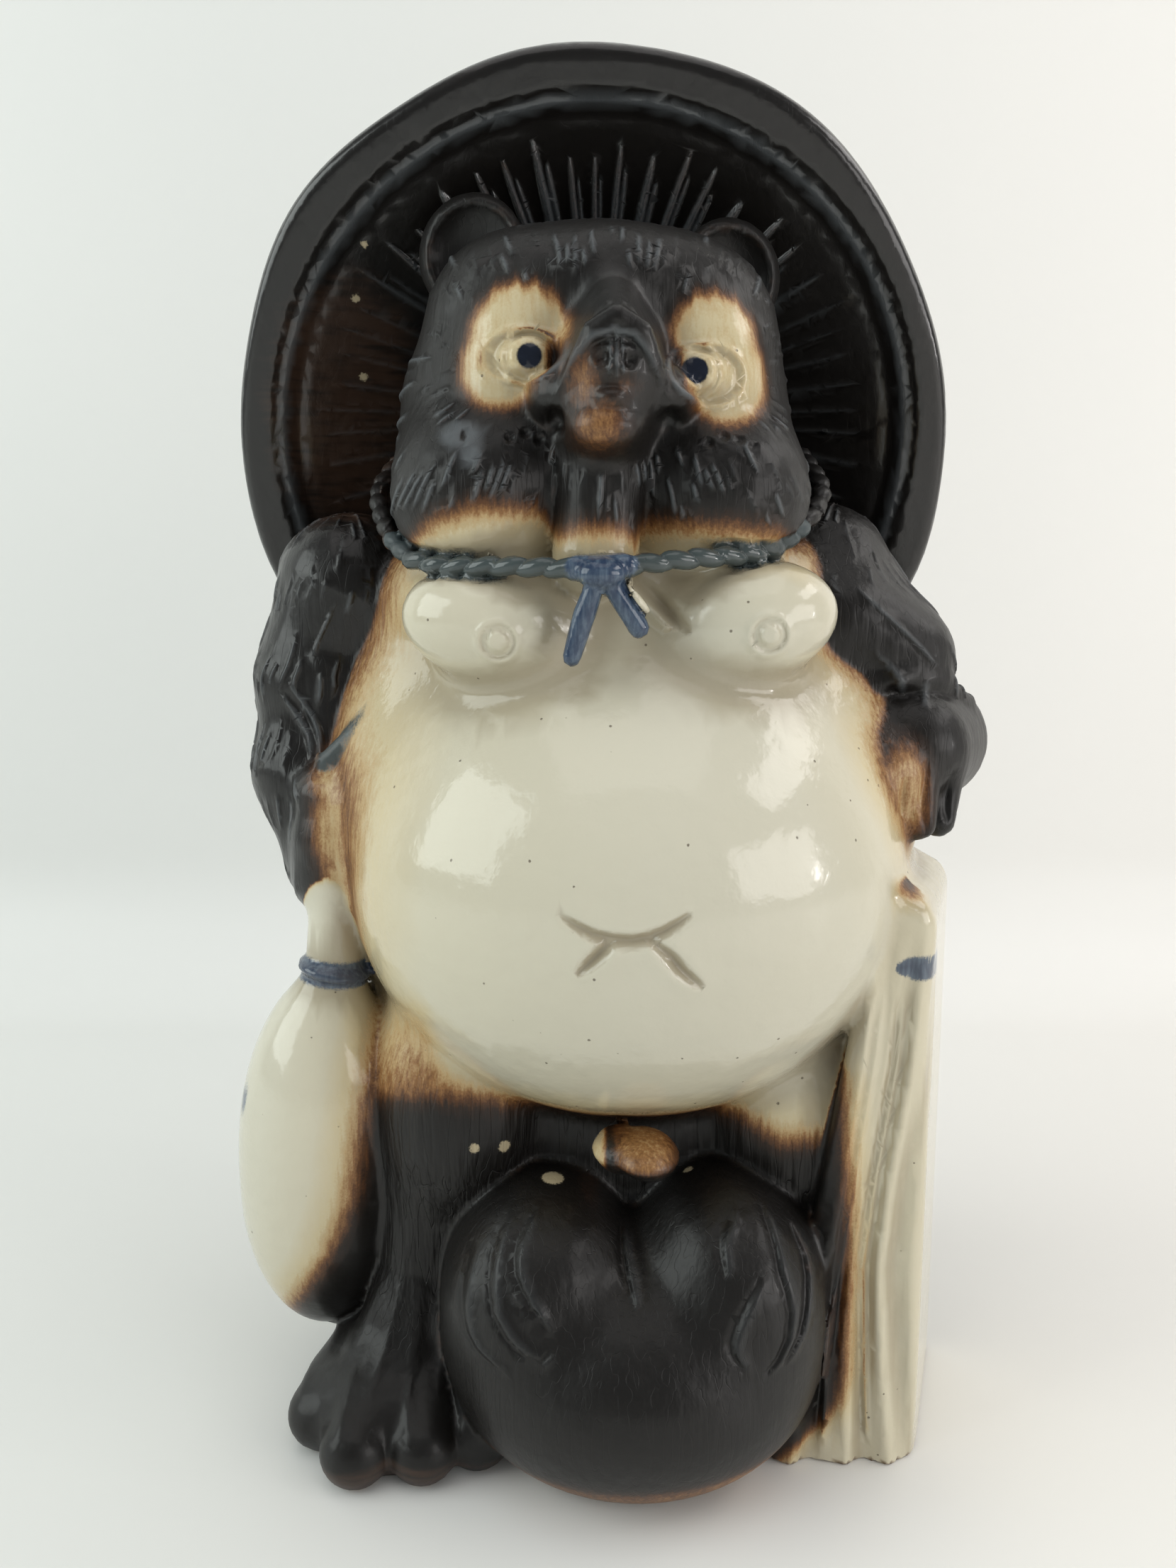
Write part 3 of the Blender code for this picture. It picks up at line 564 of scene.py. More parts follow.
def eye_rings(p):
    """Round each pupil two rings, and the lids' edge outside them, when seen from the front."""
    h = 0.0
    for (x, z, size), ((lid_x, lid_z), (wide, high)) in zip(PUPILS, LIDS):
        r = front_reach(p, x, z)
        lid = front_reach(p, lid_x, lid_z, wide, high)
        h = h + 0.08 * ridge(r - 1.15, 0.16) - 0.09 * ridge(r - 1.5, 0.15) + 0.06 * ridge(r - 1.85, 0.16)
        h = h + 0.15 * ridge((lid - 1) * high, 0.24) - 0.1 * ridge((lid - 1) * high + 0.5, 0.2)
        h = h - 0.07 * smooth(r, size, size - 0.25)
    return h


# Lines and dots on the face as (x, z)
NOSE_ARCH = ((-4.2, 75.0), (-3.2, 76.9), (-2.0, 78.5), (-0.3, 79.1), (1.3, 78.6), (2.3, 77.0), (3.3, 75.2))
NOSE_LINES = (((-0.55, 76.6), (-0.45, 78.6)), ((-0.1, 76.4), (-0.1, 78.8)), ((0.3, 76.6), (0.25, 78.6)))
WHISKER_DOTS = ((5.9, 72.9), (6.9, 73.3), (7.9, 73.1), (8.8, 72.7), (-5.9, 73.6), (-5.0, 73.2), (-6.9, 73.2))
CHEEK_PIT = (-9.9, 73.4)


def face_lines(p):
    """Lines down the nose, rings round the nostrils, and small dots where whiskers grow."""
    h = eye_rings(p) + 0.15 * tapered(p, NOSE_ARCH, 0.26)
    for line in NOSE_LINES:
        h = h + 0.1 * ridge(flat_line(p, line), 0.12)
    for nostril in NOSTRILS:
        h = h + 0.07 * ridge(front_reach(p, nostril[0], nostril[2]) - 0.72, 0.12)
    for x, z in WHISKER_DOTS:
        r = front_reach(p, x, z)
        h = h - 0.16 * ridge(r, 0.24) + 0.06 * ridge(r - 0.45, 0.14)
    pit = np.hypot(2.2 * (p[:, 0] - CHEEK_PIT[0]), p[:, 2] - CHEEK_PIT[1])
    return h - 0.16 * ridge(pit, 0.35)


# Middles that the hairs beside the eyes spread from, as (x, z)
EYE_CENTRES = ((-6.6, 78.5), (6.3, 77.8))


def face_hairs(p):
    """Hairs fanning up the forehead, outwards from the eyes and down over the jaw."""
    x, z = p[:, 0], p[:, 2]
    away = smooth(brown_cream(p), -0.3, -1.0) * smooth(z - step_line(x, COLLAR_EDGE), 0.2, 0.9)
    away = away * smooth(snout(p), 0.3, 1.0) * smooth(p[:, 1], 4.0, -2.0)
    brow = smooth(z, 81.8, 83.4)
    jaw = smooth(z, 73.2, 72.0)
    ears = np.minimum(ear(p, *EARS[0]), ear(p, *EARS[1]))
    away = away * smooth(ears, 0.2, 1.0) * smooth(z, 87.6, 86.6)
    cheek = smooth(z, 73.4, 74.6) * smooth(z, 82.0, 80.6)
    h = 0.16 * brow * hairs(20.0 * np.arctan2(x + 0.3, z - 62.0), z, 0.5, 4.6)
    h = h + 0.18 * jaw * hairs(22.0 * np.arctan2(x + 0.6, 92.0 - z), z + 0.1 * np.abs(x), 0.5, 4.6)
    for (eye_x, eye_z), side in zip(EYE_CENTRES, (-1, 1)):
        out, up = side * (x - eye_x), z - eye_z
        beyond = cheek * smooth(out, 1.6, 2.8)
        h = h + 0.18 * beyond * hairs(6.0 * np.arctan2(up, out), np.hypot(out, up) + 0.6, 0.7, 4.2)
    return away * h


# Carved on the front, as (x, z): the nipples, the navel's creases and the fold right of the bow
NIPPLES = ((-7.7, 60.3), (9.9, 60.7))
NAVEL = (((-3.6, 43.8), (-1.6, 42.6), (0.8, 42.2), (2.8, 42.8), (4.6, 44.0)),
         ((-0.3, 42.3), (-1.2, 41.3), (-2.6, 39.9)), ((1.9, 42.4), (3.2, 41.2), (4.0, 40.2), (5.4, 39.0)))
CHEST_RIDGE = ((0.4, 64.4), (2.0, 62.7), (3.6, 60.9))
CHEST_CREASE = ((1.5, 64.2), (3.3, 62.4), (4.9, 60.8))


def front_lines(p):
    """A disc in a ring on each breast, and the navel's creases with a soft rise beside them."""
    h = 0.0
    for x, z in NIPPLES:
        r = front_reach(p, x, z)
        h = h + 0.3 * smooth(r, 0.85, 0.45) + 0.16 * ridge(r - 1.35, 0.26) - 0.06 * ridge(r - 1.0, 0.14)
    crease = np.minimum(1.0, sum(tapered(p, line, 0.4) for line in NAVEL))
    rise = np.minimum(1.0, sum(tapered(p, line, 1.1) for line in NAVEL))
    folds = 0.6 * tapered(p, CHEST_RIDGE, 0.6) - 0.45 * tapered(p, CHEST_CREASE, 0.45)
    return h + 0.16 * rise - 0.62 * crease + folds * smooth(cord(p), 0.0, 0.3)


# Locks on the pouch as (x, z); the last is the line under its cleft
CURLS = (((-7.4, 20.2), (-8.3, 18.8), (-8.6, 17.1), (-8.3, 15.0), (-7.0, 13.4), (-5.4, 12.6), (-4.1, 13.3)),
         ((-5.5, 20.7), (-6.7, 19.3), (-6.8, 17.6), (-5.6, 15.9), (-4.5, 14.4)),
         ((-9.9, 18.3), (-10.5, 16.0), (-10.5, 13.9), (-9.6, 12.3), (-7.4, 11.4)),
         ((-7.4, 16.4), (-6.2, 15.7), (-5.0, 15.6)),
         ((10.2, 20.9), (10.9, 19.2), (11.2, 17.4), (11.8, 15.4), (11.4, 12.9), (10.0, 11.4)),
         ((12.2, 19.6), (13.1, 17.6), (13.1, 15.6), (12.5, 13.4), (11.3, 11.7)),
         ((9.8, 17.5), (8.5, 15.7), (7.7, 13.5), (8.6, 11.9)),
         ((8.3, 20.9), (7.2, 19.5), (7.4, 17.6)),
         ((0.4, 18.4), (0.7, 16.8), (1.3, 15.3)))


def curls(p):
    """Curling locks down both sides of the pouch: a groove with a soft swell beside it."""
    h = 0.0
    for line in CURLS:
        h = h + 0.24 * tapered(p, [(x + 0.4, z) for x, z in line], 0.5) - 0.26 * tapered(p, line, 0.3)
    return h


# Length of one bead along the cord, and the middle that the beads turn about
CORD_BEAD = 1.9
CORD_MIDDLE = (-1.2, 0.0)


def cord_beads(p):
    """Slanting leaves a bead apart along the cord, placed by the turn about the neck; smooth at the knot."""
    path = along(CORD_POINTS, 60)
    turns = np.arctan2(path[:, 0] - CORD_MIDDLE[0], CORD_MIDDLE[1] - path[:, 1])
    steps = np.concatenate(((0.0,), np.cumsum(length(np.diff(path, axis=0)))))
    turn = np.arctan2(p[:, 0] - CORD_MIDDLE[0], CORD_MIDDLE[1] - p[:, 1])
    level = np.interp(turn, turns, path[:, 2])
    place = np.interp(turn, turns, steps) + 0.9 * (p[:, 2] - level) * np.sign(p[:, 0] + 1.0)
    close = smooth(cord(p), 0.5, 0.15) * smooth(length(p - KNOT), 1.9, 2.6)
    close = close * smooth(np.abs(p[:, 2] - level), 1.5, 1.0)
    return close * (0.24 * np.abs(np.sin(np.pi * place / CORD_BEAD)) ** 0.7 - 0.38)


# Middle (x, z) and half width of the row of beads over the forehead, and the length of a bead
HEAD_BAND = (-0.9, 88.9, 6.4)
BAND_BEAD = 0.62


def head_band(p):
    """Small beads in a row over the forehead between the ears."""
    x, z = p[:, 0], p[:, 2]
    middle, height, half = HEAD_BAND
    line = z - height + 0.035 * (x - middle) ** 2
    ends = smooth(np.abs(x - middle), half, half - 1.0)
    return 0.1 * ends * ridge(line, 0.32) * (0.45 + 0.55 * np.abs(np.sin(np.pi * x / BAND_BEAD)))


def arm_place(p, side):
    """Round and along an arm: the turn about its bent axis, and the height."""
    bends = (22.5, 23.9, 23.1, 20.2) if side < 0 else (23.0, 25.0, 24.6, 17.5)
    bend = np.interp(p[:, 2], (42.0, 50.0, 57.0, 64.0), bends)
    angle = np.arctan2(p[:, 1] - 1.0, side * (p[:, 0] - side * bend))
    return angle, p[:, 2] + 0.4 * side * p[:, 0]


def arm_hairs(p):
    """Hairs down both arms, none on the hands or on the amber."""
    h = np.zeros(len(p))
    away = smooth(brown_cream(p), -0.5, -1.4)
    for form, side in ((flask_arm, -1), (ledger_arm, 1)):
        angle, lengthways = arm_place(p, side)
        share = share_of(form, p, 0.05, 0.4) * smooth(np.abs(angle), 2.9, 2.5)
        bare_hand = smooth(p[:, 2], 53.0, 56.5) if side > 0 else 1.0
        h = h + 0.2 * share * bare_hand * hairs(4.8 * angle, lengthways, 0.95, 5.4)
    return away * h


# Folds of the sleeve and grooves between the fingers, as (x, z)
SLEEVE = (((-24.4, 56.6), (-23.2, 54.9), (-22.2, 53.2), (-22.0, 51.2), (-22.4, 49.6)),
          ((-25.0, 55.6), (-23.8, 54.0), (-22.9, 52.4), (-22.8, 50.6)))
KNUCKLES = (((22.4, 51.6), (22.0, 48.2), (22.3, 46.2)), ((24.6, 51.0), (24.2, 48.0), (24.4, 46.6)),
            ((20.6, 50.6), (20.4, 48.9), (20.5, 47.4)))


def hand_lines(p):
    """The fold down the flask arm, and grooves between the fingers on the book."""
    h = 0.0
    for line in SLEEVE:
        h = h + 0.26 * tapered(p, line, 0.24)
    for line in KNUCKLES:
        h = h - 0.26 * tapered(p, line, 0.3)
    return h


# Toes, then the sinews above them, as (x, z)
CLAWS = (((-23.4, 4.2), (-23.0, 5.6), (-22.4, 6.8)), ((-19.6, 3.8), (-19.5, 5.4), (-19.0, 6.8)),
         ((-14.6, 3.6), (-14.8, 5.2), (-14.9, 6.6)), ((-10.8, 3.4), (-11.0, 4.8), (-11.4, 6.2)),
         ((-20.4, 6.2), (-18.6, 9.2), (-17.4, 12.0)), ((-17.6, 5.8), (-16.6, 9.2), (-15.8, 12.4)),
         ((-14.8, 5.8), (-14.6, 9.2), (-14.4, 12.6)), ((-12.6, 5.6), (-13.0, 8.6), (-13.4, 11.4)))


def claws(p):
    """A soft ridge on each toe, and sinews that run up from between them."""
    return sum(0.15 * tapered(p, line, 0.45) for line in CLAWS)


# Fine folds between the pleats: distances from the book's right edge at the pleats' heights
BOOK_FOLDS = ((3.4, 3.9, 4.2, 3.5, 2.3, 1.8), (6.9, 6.6, 5.9, 5.0, 3.9, 3.2))


def book_folds(p):
    """Fine folds down the book's front between its pleats."""
    q = book_place(p)
    reach = LEDGER_HALF[0] - q[:, 0]
    h = 0.0
    for row in BOOK_FOLDS:
        beside = reach - np.interp(p[:, 2], PLEAT_HEIGHTS, row)
        h = h + 0.2 * ridge(beside, 0.24) - 0.16 * ridge(beside - 0.5, 0.22)
    ends = smooth(p[:, 2], 1.0, 3.0) * smooth(p[:, 2], 37.0, 33.0)
    return h * ends * (q[:, 1] < 2.0 - LEDGER_HALF[1])


def stub_shape(p):
    """The stub pressed a little flat from above and below."""
    return -0.45 * smooth(np.abs(p[:, 2] - 25.2), 0.5, 1.6) * smooth(stub(p), 0.8, 0.3)


# Each carving with the box it is cut in
CARVINGS = (
    (hat_lines, (-31, -12, 44), (29, 24, 103)),
    (face_lines, (-12, -22, 70), (12, -8, 84)),
    (face_hairs, (-17, -20, 64), (15, 4, 91)),
    (head_band, (-9, -12, 86), (7, 2, 91)),
    (front_lines, (-12, -28, 36), (14, -8, 66)),
    (curls, (-13, -27, 5), (15, -9, 23)),
    (cord_beads, (-20, -21, 62), (18, 4, 76)),
    (arm_hairs, (-31, -12, 38), (31, 8, 72)),
    (hand_lines, (-28, -12, 45), (28, -2.5, 58)),
    (claws, (-27, -22, 1), (-8, -9, 14)),
    (book_folds, (9, -17, 0), (29, -6, 40)),
    (stub_shape, (-3, -20, 21), (6, -12, 29)),
)


def relief(p):
    """The heights of all carvings, each inside its own box."""
    h = np.zeros(len(p), np.float32)
    for carving, low, high in CARVINGS:
        held = ((p > np.asarray(low)) & (p < np.asarray(high))).all(axis=1)
        if held.any():
            h[held] += carving(p[held])
    return h


# The whole bottle: outside with relief, neck, hollow, bore and ground

def from_neck(p):
    """Distance from the neck's axis."""
    return np.hypot(p[:, 0] - NECK_PLACE[0], p[:, 1] - NECK_PLACE[1])


def round_post(p, radius, bottom, top):
    """Distance to an upright post on the neck's axis; radius may change with height."""
    beside = from_neck(p) - radius
    return np.maximum(beside, np.maximum(bottom - p[:, 2], p[:, 2] - top))


# Heights over the neck's place where the hollow ends and where the neck does
ROOF = crossing(hollow, *NECK_PLACE, 70.0, 100.0)
TOP = crossing(figure, *NECK_PLACE, 70.0, 100.0) + NECK_RISE / UNIT


def neck(p):
    """The neck with its rolled lip."""
    outer = (BORE / 2 + NECK_WALL) / UNIT
    d = round_post(p, outer, ROOF - 2 * WALL / UNIT, TOP)
    middle = TOP - LIP_HEIGHT / 2 / UNIT
    ring = from_neck(p) - outer + 0.3
    roll = np.hypot(ring / (LIP_SWELL / UNIT + 0.35), (p[:, 2] - middle) / (LIP_HEIGHT / 2 / UNIT)) - 1
    return join(d, 0.8 * roll, 0.4)


def bore(p):
    """The bore, flaring at the mouth."""
    inner = BORE / 2 / UNIT + MOUTH_FLARE / UNIT * smooth(p[:, 2], TOP - 2 * MOUTH_FLARE / UNIT, TOP)
    return round_post(p, inner, ROOF - 4.0, TOP + 4.0)


# How near to the surface the relief is worked out, and the room round the neck's foot that the neck
# and the bore are worked out in
RELIEF_REACH = 1.6
NECK_REACH, NECK_DEPTH = 9.0, 8.0


def bottle(p):
    """The finished bottle: (outside - relief) with the neck, less the hollow, the bore and the ground."""
    d = figure(p)
    inner = np.full(len(p), 9.0, np.float32)
    deep = d < -0.5 * WALL / UNIT
    if deep.any():
        inner[deep] = np.maximum(hollow(p[deep]), FLOOR / UNIT - p[deep, 2])
    skin = np.abs(d) < RELIEF_REACH
    if skin.any():
        d[skin] -= relief(p[skin])
    post = (from_neck(p) < NECK_REACH) & (p[:, 2] > ROOF - NECK_DEPTH)
    if post.any():
        d[post] = join(d[post], neck(p[post]), 0.6)
        inner[post] = np.minimum(inner[post], bore(p[post]))
    return np.maximum(np.maximum(d, -inner), -p[:, 2])


# The skin's mesh

# Points worked out at one time
BATCH = 400000


def field_on_grid(low, high, cell, coarse=4):
    """The bottle's field on a grid: in full near the surface, blended from a coarse grid elsewhere."""
    count = np.ceil((np.asarray(high) - low) / (cell * coarse)).astype(int) * coarse + 1
    axes = [a + cell * coarse * np.arange((n - 1) // coarse + 1) for a, n in zip(low, count)]
    rough = np.stack(np.meshgrid(*axes, indexing="ij"), axis=-1).reshape(-1, 3).astype(np.float32)
    value = bottle(rough).reshape([len(a) for a in axes])
    for axis in range(3):
        step = np.arange(count[axis])
        start = np.minimum(step // coarse, value.shape[axis] - 2)
        share = ((step - start * coarse) / coarse).astype(np.float32)
        shape = [1, 1, 1]
        shape[axis] = -1
        share = share.reshape(shape)
        value = np.take(value, start, axis) * (1 - share) + np.take(value, start + 1, axis) * share
    near = np.argwhere(np.abs(value) < cell * (0.9 * coarse + 1.6))
    points = (low + near * cell).astype(np.float32)
    exact = np.concatenate([bottle(points[k:k + BATCH]) for k in range(0, len(points), BATCH)])
    value[tuple(near.T)] = exact
    return value


def net(value, low, cell):
    """One point in each cell that the surface crosses, at the mean of its crossings, joined as quads."""
    held = value < 0
    size = np.array(held.shape) - 1
    corners = [(i, j, k) for i in (0, 1) for j in (0, 1) for k in (0, 1)]
    stack = [held[i:size[0] + i, j:size[1] + j, k:size[2] + k] for i, j, k in corners]
    mixed = np.logical_or.reduce(stack) & ~np.logical_and.reduce(stack)
    cells = np.argwhere(mixed)
    number = np.full(mixed.shape, -1)
    number[mixed] = np.arange(len(cells))
    at = [value[tuple((cells + corner).T)] for corner in corners]
    total, crossings = np.zeros((len(cells), 3)), np.zeros(len(cells))
    for a in range(8):
        for b in (a | 4, a | 2, a | 1):
            if a == b:
                continue
            cut_here = (at[a] < 0) != (at[b] < 0)
            share = at[a][cut_here] / (at[a][cut_here] - at[b][cut_here])
            step = np.subtract(corners[b], corners[a])
            total[cut_here] += np.asarray(corners[a]) + share[:, None] * step
            crossings[cut_here] += 1
    points = low + cell * (cells + total / crossings[:, None])
    quads = []
    for axis in range(3):
        one, two = ((1, 2), (2, 0), (0, 1))[axis]
        ahead = np.roll(held, -1, axis)
        crossed = held != ahead
        index = [slice(1, -1)] * 3
        index[axis] = slice(0, -1)
        inner = np.zeros_like(crossed)
        inner[tuple(index)] = crossed[tuple(index)]
        edges = np.argwhere(inner)
        ring = []
        for d_one, d_two in ((-1, -1), (0, -1), (0, 0), (-1, 0)):
            place = edges.copy()
            place[:, one] += d_one
            place[:, two] += d_two
            ring.append(number[tuple(place.T)])
        quad = np.stack(ring, axis=1)
        outward = held[tuple(edges.T)]
        quad[~outward] = quad[~outward][:, ::-1]
        quads.append(quad)
    return points, np.concatenate(quads)


def shown(name, data):
    """A new object in the scene that holds this data."""
    made = bpy.data.objects.new(name, data)
    bpy.context.collection.objects.link(made)
    return made


def mesh_from(name, points, faces):
    """A mesh of triangles or quads from whole arrays."""
    mesh = bpy.data.meshes.new(name)
    mesh.vertices.add(len(points))
    mesh.vertices.foreach_set("co", np.asarray(points, np.float32).ravel())
    mesh.loops.add(faces.size)
    mesh.loops.foreach_set("vertex_index", faces.astype(np.int32).ravel())
    mesh.polygons.add(len(faces))
    mesh.polygons.foreach_set("loop_start", np.arange(len(faces), dtype=np.int32) * faces.shape[1])
    mesh.update(calc_edges=True)
    return mesh


def points_of(mesh):
    """A mesh's points as an array, in hundredths of the height."""
    co = np.empty(len(mesh.vertices) * 3, np.float32)
    mesh.vertices.foreach_get("co", co)
    return co.reshape(-1, 3)


def thinned(mesh, triangles):
    """The mesh with about so many triangles, by Blender's Decimate."""
    count = (len(mesh.polygons[0].vertices) - 2) * len(mesh.polygons)
    carrier = shown("carrier", mesh)
    step = carrier.modifiers.new("Thin", "DECIMATE")
    step.ratio = min(1.0, triangles / count)
    step.use_collapse_triangulate = True
    graph = bpy.context.evaluated_depsgraph_get()
    made = bpy.data.meshes.new_from_object(carrier.evaluated_get(graph))
    bpy.data.objects.remove(carrier, do_unlink=True)
    return made


def settled(p, steps=2):
    """Points moved along the field's slope onto the surface."""
    for _ in range(steps):
        slope = slopes(bottle, p, 0.03)
        steep = np.maximum(np.einsum("ij,ij->i", slope, slope), 0.3)
        move = np.clip(bottle(p) / steep, -0.25, 0.25)
        p = (p - 0.8 * slope * move[:, None]).astype(np.float32)
    return p


# Closer points where the relief needs them

def paint(p):
    """Relief, cream and blue side by side, each limited to the stretch in which it shows."""
    edge = np.clip(cream(p), -2.0, 1.5) / 0.35
    blue = np.clip(cobalt(p), -0.3, 0.4) / 0.12
    return np.stack((relief(p) / 0.02, edge, blue), axis=1)


def refined(mesh, passes, shortest=0.13):
    """Edges on the outside split where the relief or the glaze bends between their ends."""
    for _ in range(passes):
        p = points_of(mesh)
        ends = np.empty(len(mesh.edges) * 2, np.int32)
        mesh.edges.foreach_get("vertices", ends)
        ends = ends.reshape(-1, 2)
        span = length(p[ends[:, 0]] - p[ends[:, 1]])
        middle = p[ends].mean(axis=1)
        chosen = np.flatnonzero((span > shortest) & (np.abs(figure(middle)) < 0.8))
        seen = paint(p)
        bend = np.abs(paint(middle[chosen]) - seen[ends[chosen]].mean(axis=1))
        bend[:, 1:] *= (span[chosen] > 3 * shortest)[:, None]
        chosen = chosen[bend.max(axis=1) > 1]
        work = bmesh.new()
        work.from_mesh(mesh)
        work.edges.ensure_lookup_table()
        bmesh.ops.subdivide_edges(work, edges=[work.edges[i] for i in chosen], cuts=1)
        bmesh.ops.triangulate(work, faces=[face for face in work.faces if len(face.verts) > 3])
        work.to_mesh(mesh)
        work.free()
        mesh.vertices.foreach_set("co", settled(points_of(mesh)).ravel())
    return mesh


# The glaze, as distances worked out on the skin's points.
# Bare cream is where "cream" is above 0; the brown glaze was sprayed over it where it is below.

# Lower edge of the cream on the belly, and its upper edge under the head, as (x, z)
BELLY_EDGE = ((-30, 27), (-18, 27), (-13, 28.3), (-10, 27.8), (-8, 27.2), (0, 26.6), (7, 26.6),
              (9.5, 25.8), (12, 24.6), (15, 24.8), (18, 27), (30, 30))
COLLAR_EDGE = ((-18, 66), (-14, 66.2), (-12.5, 67.6), (-9, 68.7), (-5, 68.5), (-3.9, 66.9), (-2.8, 67.4),
               (0.6, 67.3), (1.2, 66.6), (1.9, 67.6), (6, 67.5), (10.5, 67.2), (12.2, 66.3), (15, 66.8),
               (18, 68))
# How far the cream reaches from the book's right edge, as (height, reach)
BOOK_EDGE = ((0, 10), (1.5, 8.6), (3, 6.8), (5, 5.6), (7.5, 5.2), (18, 5.2), (22, 5.4), (26, 5.7),
             (30, 6.0), (33, 9))
# Right edge of the cream on the flask, as (height, x)
FLASK_EDGE = ((6, -25.5), (9, -24.8), (11.4, -23.3), (15, -21.0), (19.5, -19.4), (26, -18.4),
              (32.4, -17.3), (44, -14.0))


def step_line(x, table):
    """Straight lines between a table's pairs."""
    places, values = zip(*table)
    return np.interp(x, places, values)


def disc(p, x, z, wide, high):
    """How far inside an ellipse a point lies when seen from the front."""
    return (1 - front_reach(p, x, z, wide, high)) * min(wide, high)


def front_cream(p):
    """Cream on belly, breasts and throat, with amber next to the arms and below."""
    x, y, z = p.T
    beside_left = (flask_arm(p) - np.interp(z, (44, 53, 59), (1.2, 1.0, 1.2))) / 3.0
    beside_right = (ledger_arm(p) - 0.5) / 1.3
    rise = z - step_line(x, BELLY_EDGE)
    thigh = smooth(x, -11.0, -13.5) * smooth(x, -21.0, -18.5)
    rise = rise + thigh * (np.interp(rise, (0.0, 3.0, 7.0, 12.0), (0.0, 0.5, 1.4, 8.0)) - rise) * (rise > 0)
    under = 1.2 * (step_line(x, COLLAR_EDGE) - z)
    return np.minimum.reduce((beside_left, beside_right, rise, under, 2.0 - y))


# Painted shade, darker brown in the corners of the eyes, beside the nose and round the stub: (x, z, half
# width, half height, depth)
SHADE_SPOTS = ((-8.9, 78.4, 0.35, 1.0, 1.0), (-4.1, 78.5, 0.6, 1.7, 2.4), (3.95, 77.5, 0.5, 1.5, 2.2),
              (-4.8, 76.6, 1.1, 0.5, 0.8), (-0.35, 25.0, 0.35, 1.8, 2.4), (1.6, 23.6, 2.6, 0.9, 2.0))
# The cream patches round the eyes: (x, z, half width, half height)
EYE_LOBES = ((-6.3, 80.2, 3.2, 3.2), (-7.6, 78.0, 2.6, 2.7), (-5.7, 78.4, 2.1, 2.0),
             (6.4, 80.2, 2.7, 2.7), (7.3, 77.3, 2.7, 3.1), (5.6, 77.9, 1.9, 2.1))
# Thin places where the cream shows through as amber: (x, z, half width, half height, brightness)
AMBER_SPOTS = ((-1.1, 73.6, 1.7, 1.4, -0.1), (-2.2, 76.2, 1.1, 1.8, -0.3), (0.5, 75.9, 0.8, 0.6, -0.5),
               (20.6, 49.4, 1.9, 3.2, 0.3), (-20.6, 49.8, 1.6, 1.9, 0.45), (-20.4, 46.0, 1.5, 3.0, 0.6),
               (-19.6, 42.0, 1.6, 2.4, 0.6), (2.0, 25.3, 2.4, 1.3, 0.15), (-1.2, 25.0, 0.8, 1.6, 1.2))


def brown_cream(p):
    """The brown parts, with the patches round the eyes, the amber spots and painted shade in the eyes'
    corners, beside the nose and round the stub.
    """
    value = np.maximum(-3.0, -0.2 - 0.6 * p[:, 2])
    front = p[:, 1] < -4.0
    patch = np.maximum.reduce([disc(p, *lobe) for lobe in EYE_LOBES])
    dabs = 0.42 * np.abs(np.sin(2.4 * p[:, 0])) * smooth(p[:, 2], 80.5, 82.0)
    value = np.where(front, np.maximum(value, np.minimum(2.0 * (patch - dabs), 1.3)), value)
    for x, z, wide, high, bright in AMBER_SPOTS:
        spot = bright + np.minimum(1.3 * (disc(p, x, z, wide, high) - 0.6), 0.0)
        value = np.where(front, np.maximum(value, spot), value)
    # Painted shade: darker brown in the eyes' corners, beside the nose and round the stub
    for x, z, wide, high, deep in SHADE_SPOTS:
        value = value - deep * front * ridge(front_reach(p, x, z, wide, high), 0.8)
    return value


def book_cream(p):
    """Cream on the book's right, brown sprayed in from its left and a spot at its top."""
    q = book_place(p)
    reach = LEDGER_HALF[0] - q[:, 0]
    value = 1.5 * (step_line(p[:, 2], BOOK_EDGE) - reach)
    spot = 1.4 * (1.1 - np.hypot(p[:, 0] - 20.9, 1.6 * (p[:, 2] - 43.4)))
    top = smooth(p[:, 2], 42.2, 44.4)
    value = np.minimum(value, 3.0 - 2.6 * top)
    return np.where(p[:, 1] < -12.0, np.minimum(value, -spot), value)


def flask_cream(p):
    """Cream, with brown sprayed on the side that faces the leg."""
    return np.minimum(1.1 * (step_line(p[:, 2], FLASK_EDGE) - p[:, 0]), 6.0 - p[:, 1])


def pouch_cream(p):
    """Amber along the pouch's foot, where the glaze is wiped thin, brighter to the right."""
    below = 3.3 - p[:, 2] + 0.05 * p[:, 0]
    return np.maximum(brown_cream(p), np.minimum(-0.35 + 1.4 * below, -0.3 + 0.02 * p[:, 0]))


def share_of(form, p, near=0.12, far=0.55):
    """1 where a form is the surface, 0 where it lies deeper."""
    return smooth(form(p), far, near)


def head_cream(p):
    """The head's brown, with the cream that runs up to the chin over the collar."""
    return np.maximum(brown_cream(p), 1.2 * (step_line(p[:, 0], COLLAR_EDGE) - p[:, 2]))


# The forms apart from the front, each with its own edge of the cream, or None for plain brown
CREAM_SHARES = ((head, head_cream), (flask_arm, None), (ledger_arm, None), (hat, None), (tail, None),
                (pouch, pouch_cream), (stub, None), (flask, flask_cream), (ledger, book_cream))


def cream(p):
    """How far the bare cream reaches past each point, in hundredths of the height."""
    value, brown = front_cream(p), brown_cream(p)
    for form, own in CREAM_SHARES:
        share = share_of(form, p)
        value = value * (1 - share) + (own(p) if own else brown) * share
    return np.clip(value, -3.0, 8.0)


# Blue brushed over the bow and the book, along lines given as (x, z)

BOW_LINES = (((-1.3, 64.2), (-2.1, 62.0), (-3.1, 59.1)), ((-0.4, 64.3), (0.6, 62.6), (1.6, 60.9)),
             ((-2.6, 65.0), (0.6, 65.2)))
BOOK_MARK = ((19.6, 37.75), (22.0, 37.7), (24.2, 37.6))


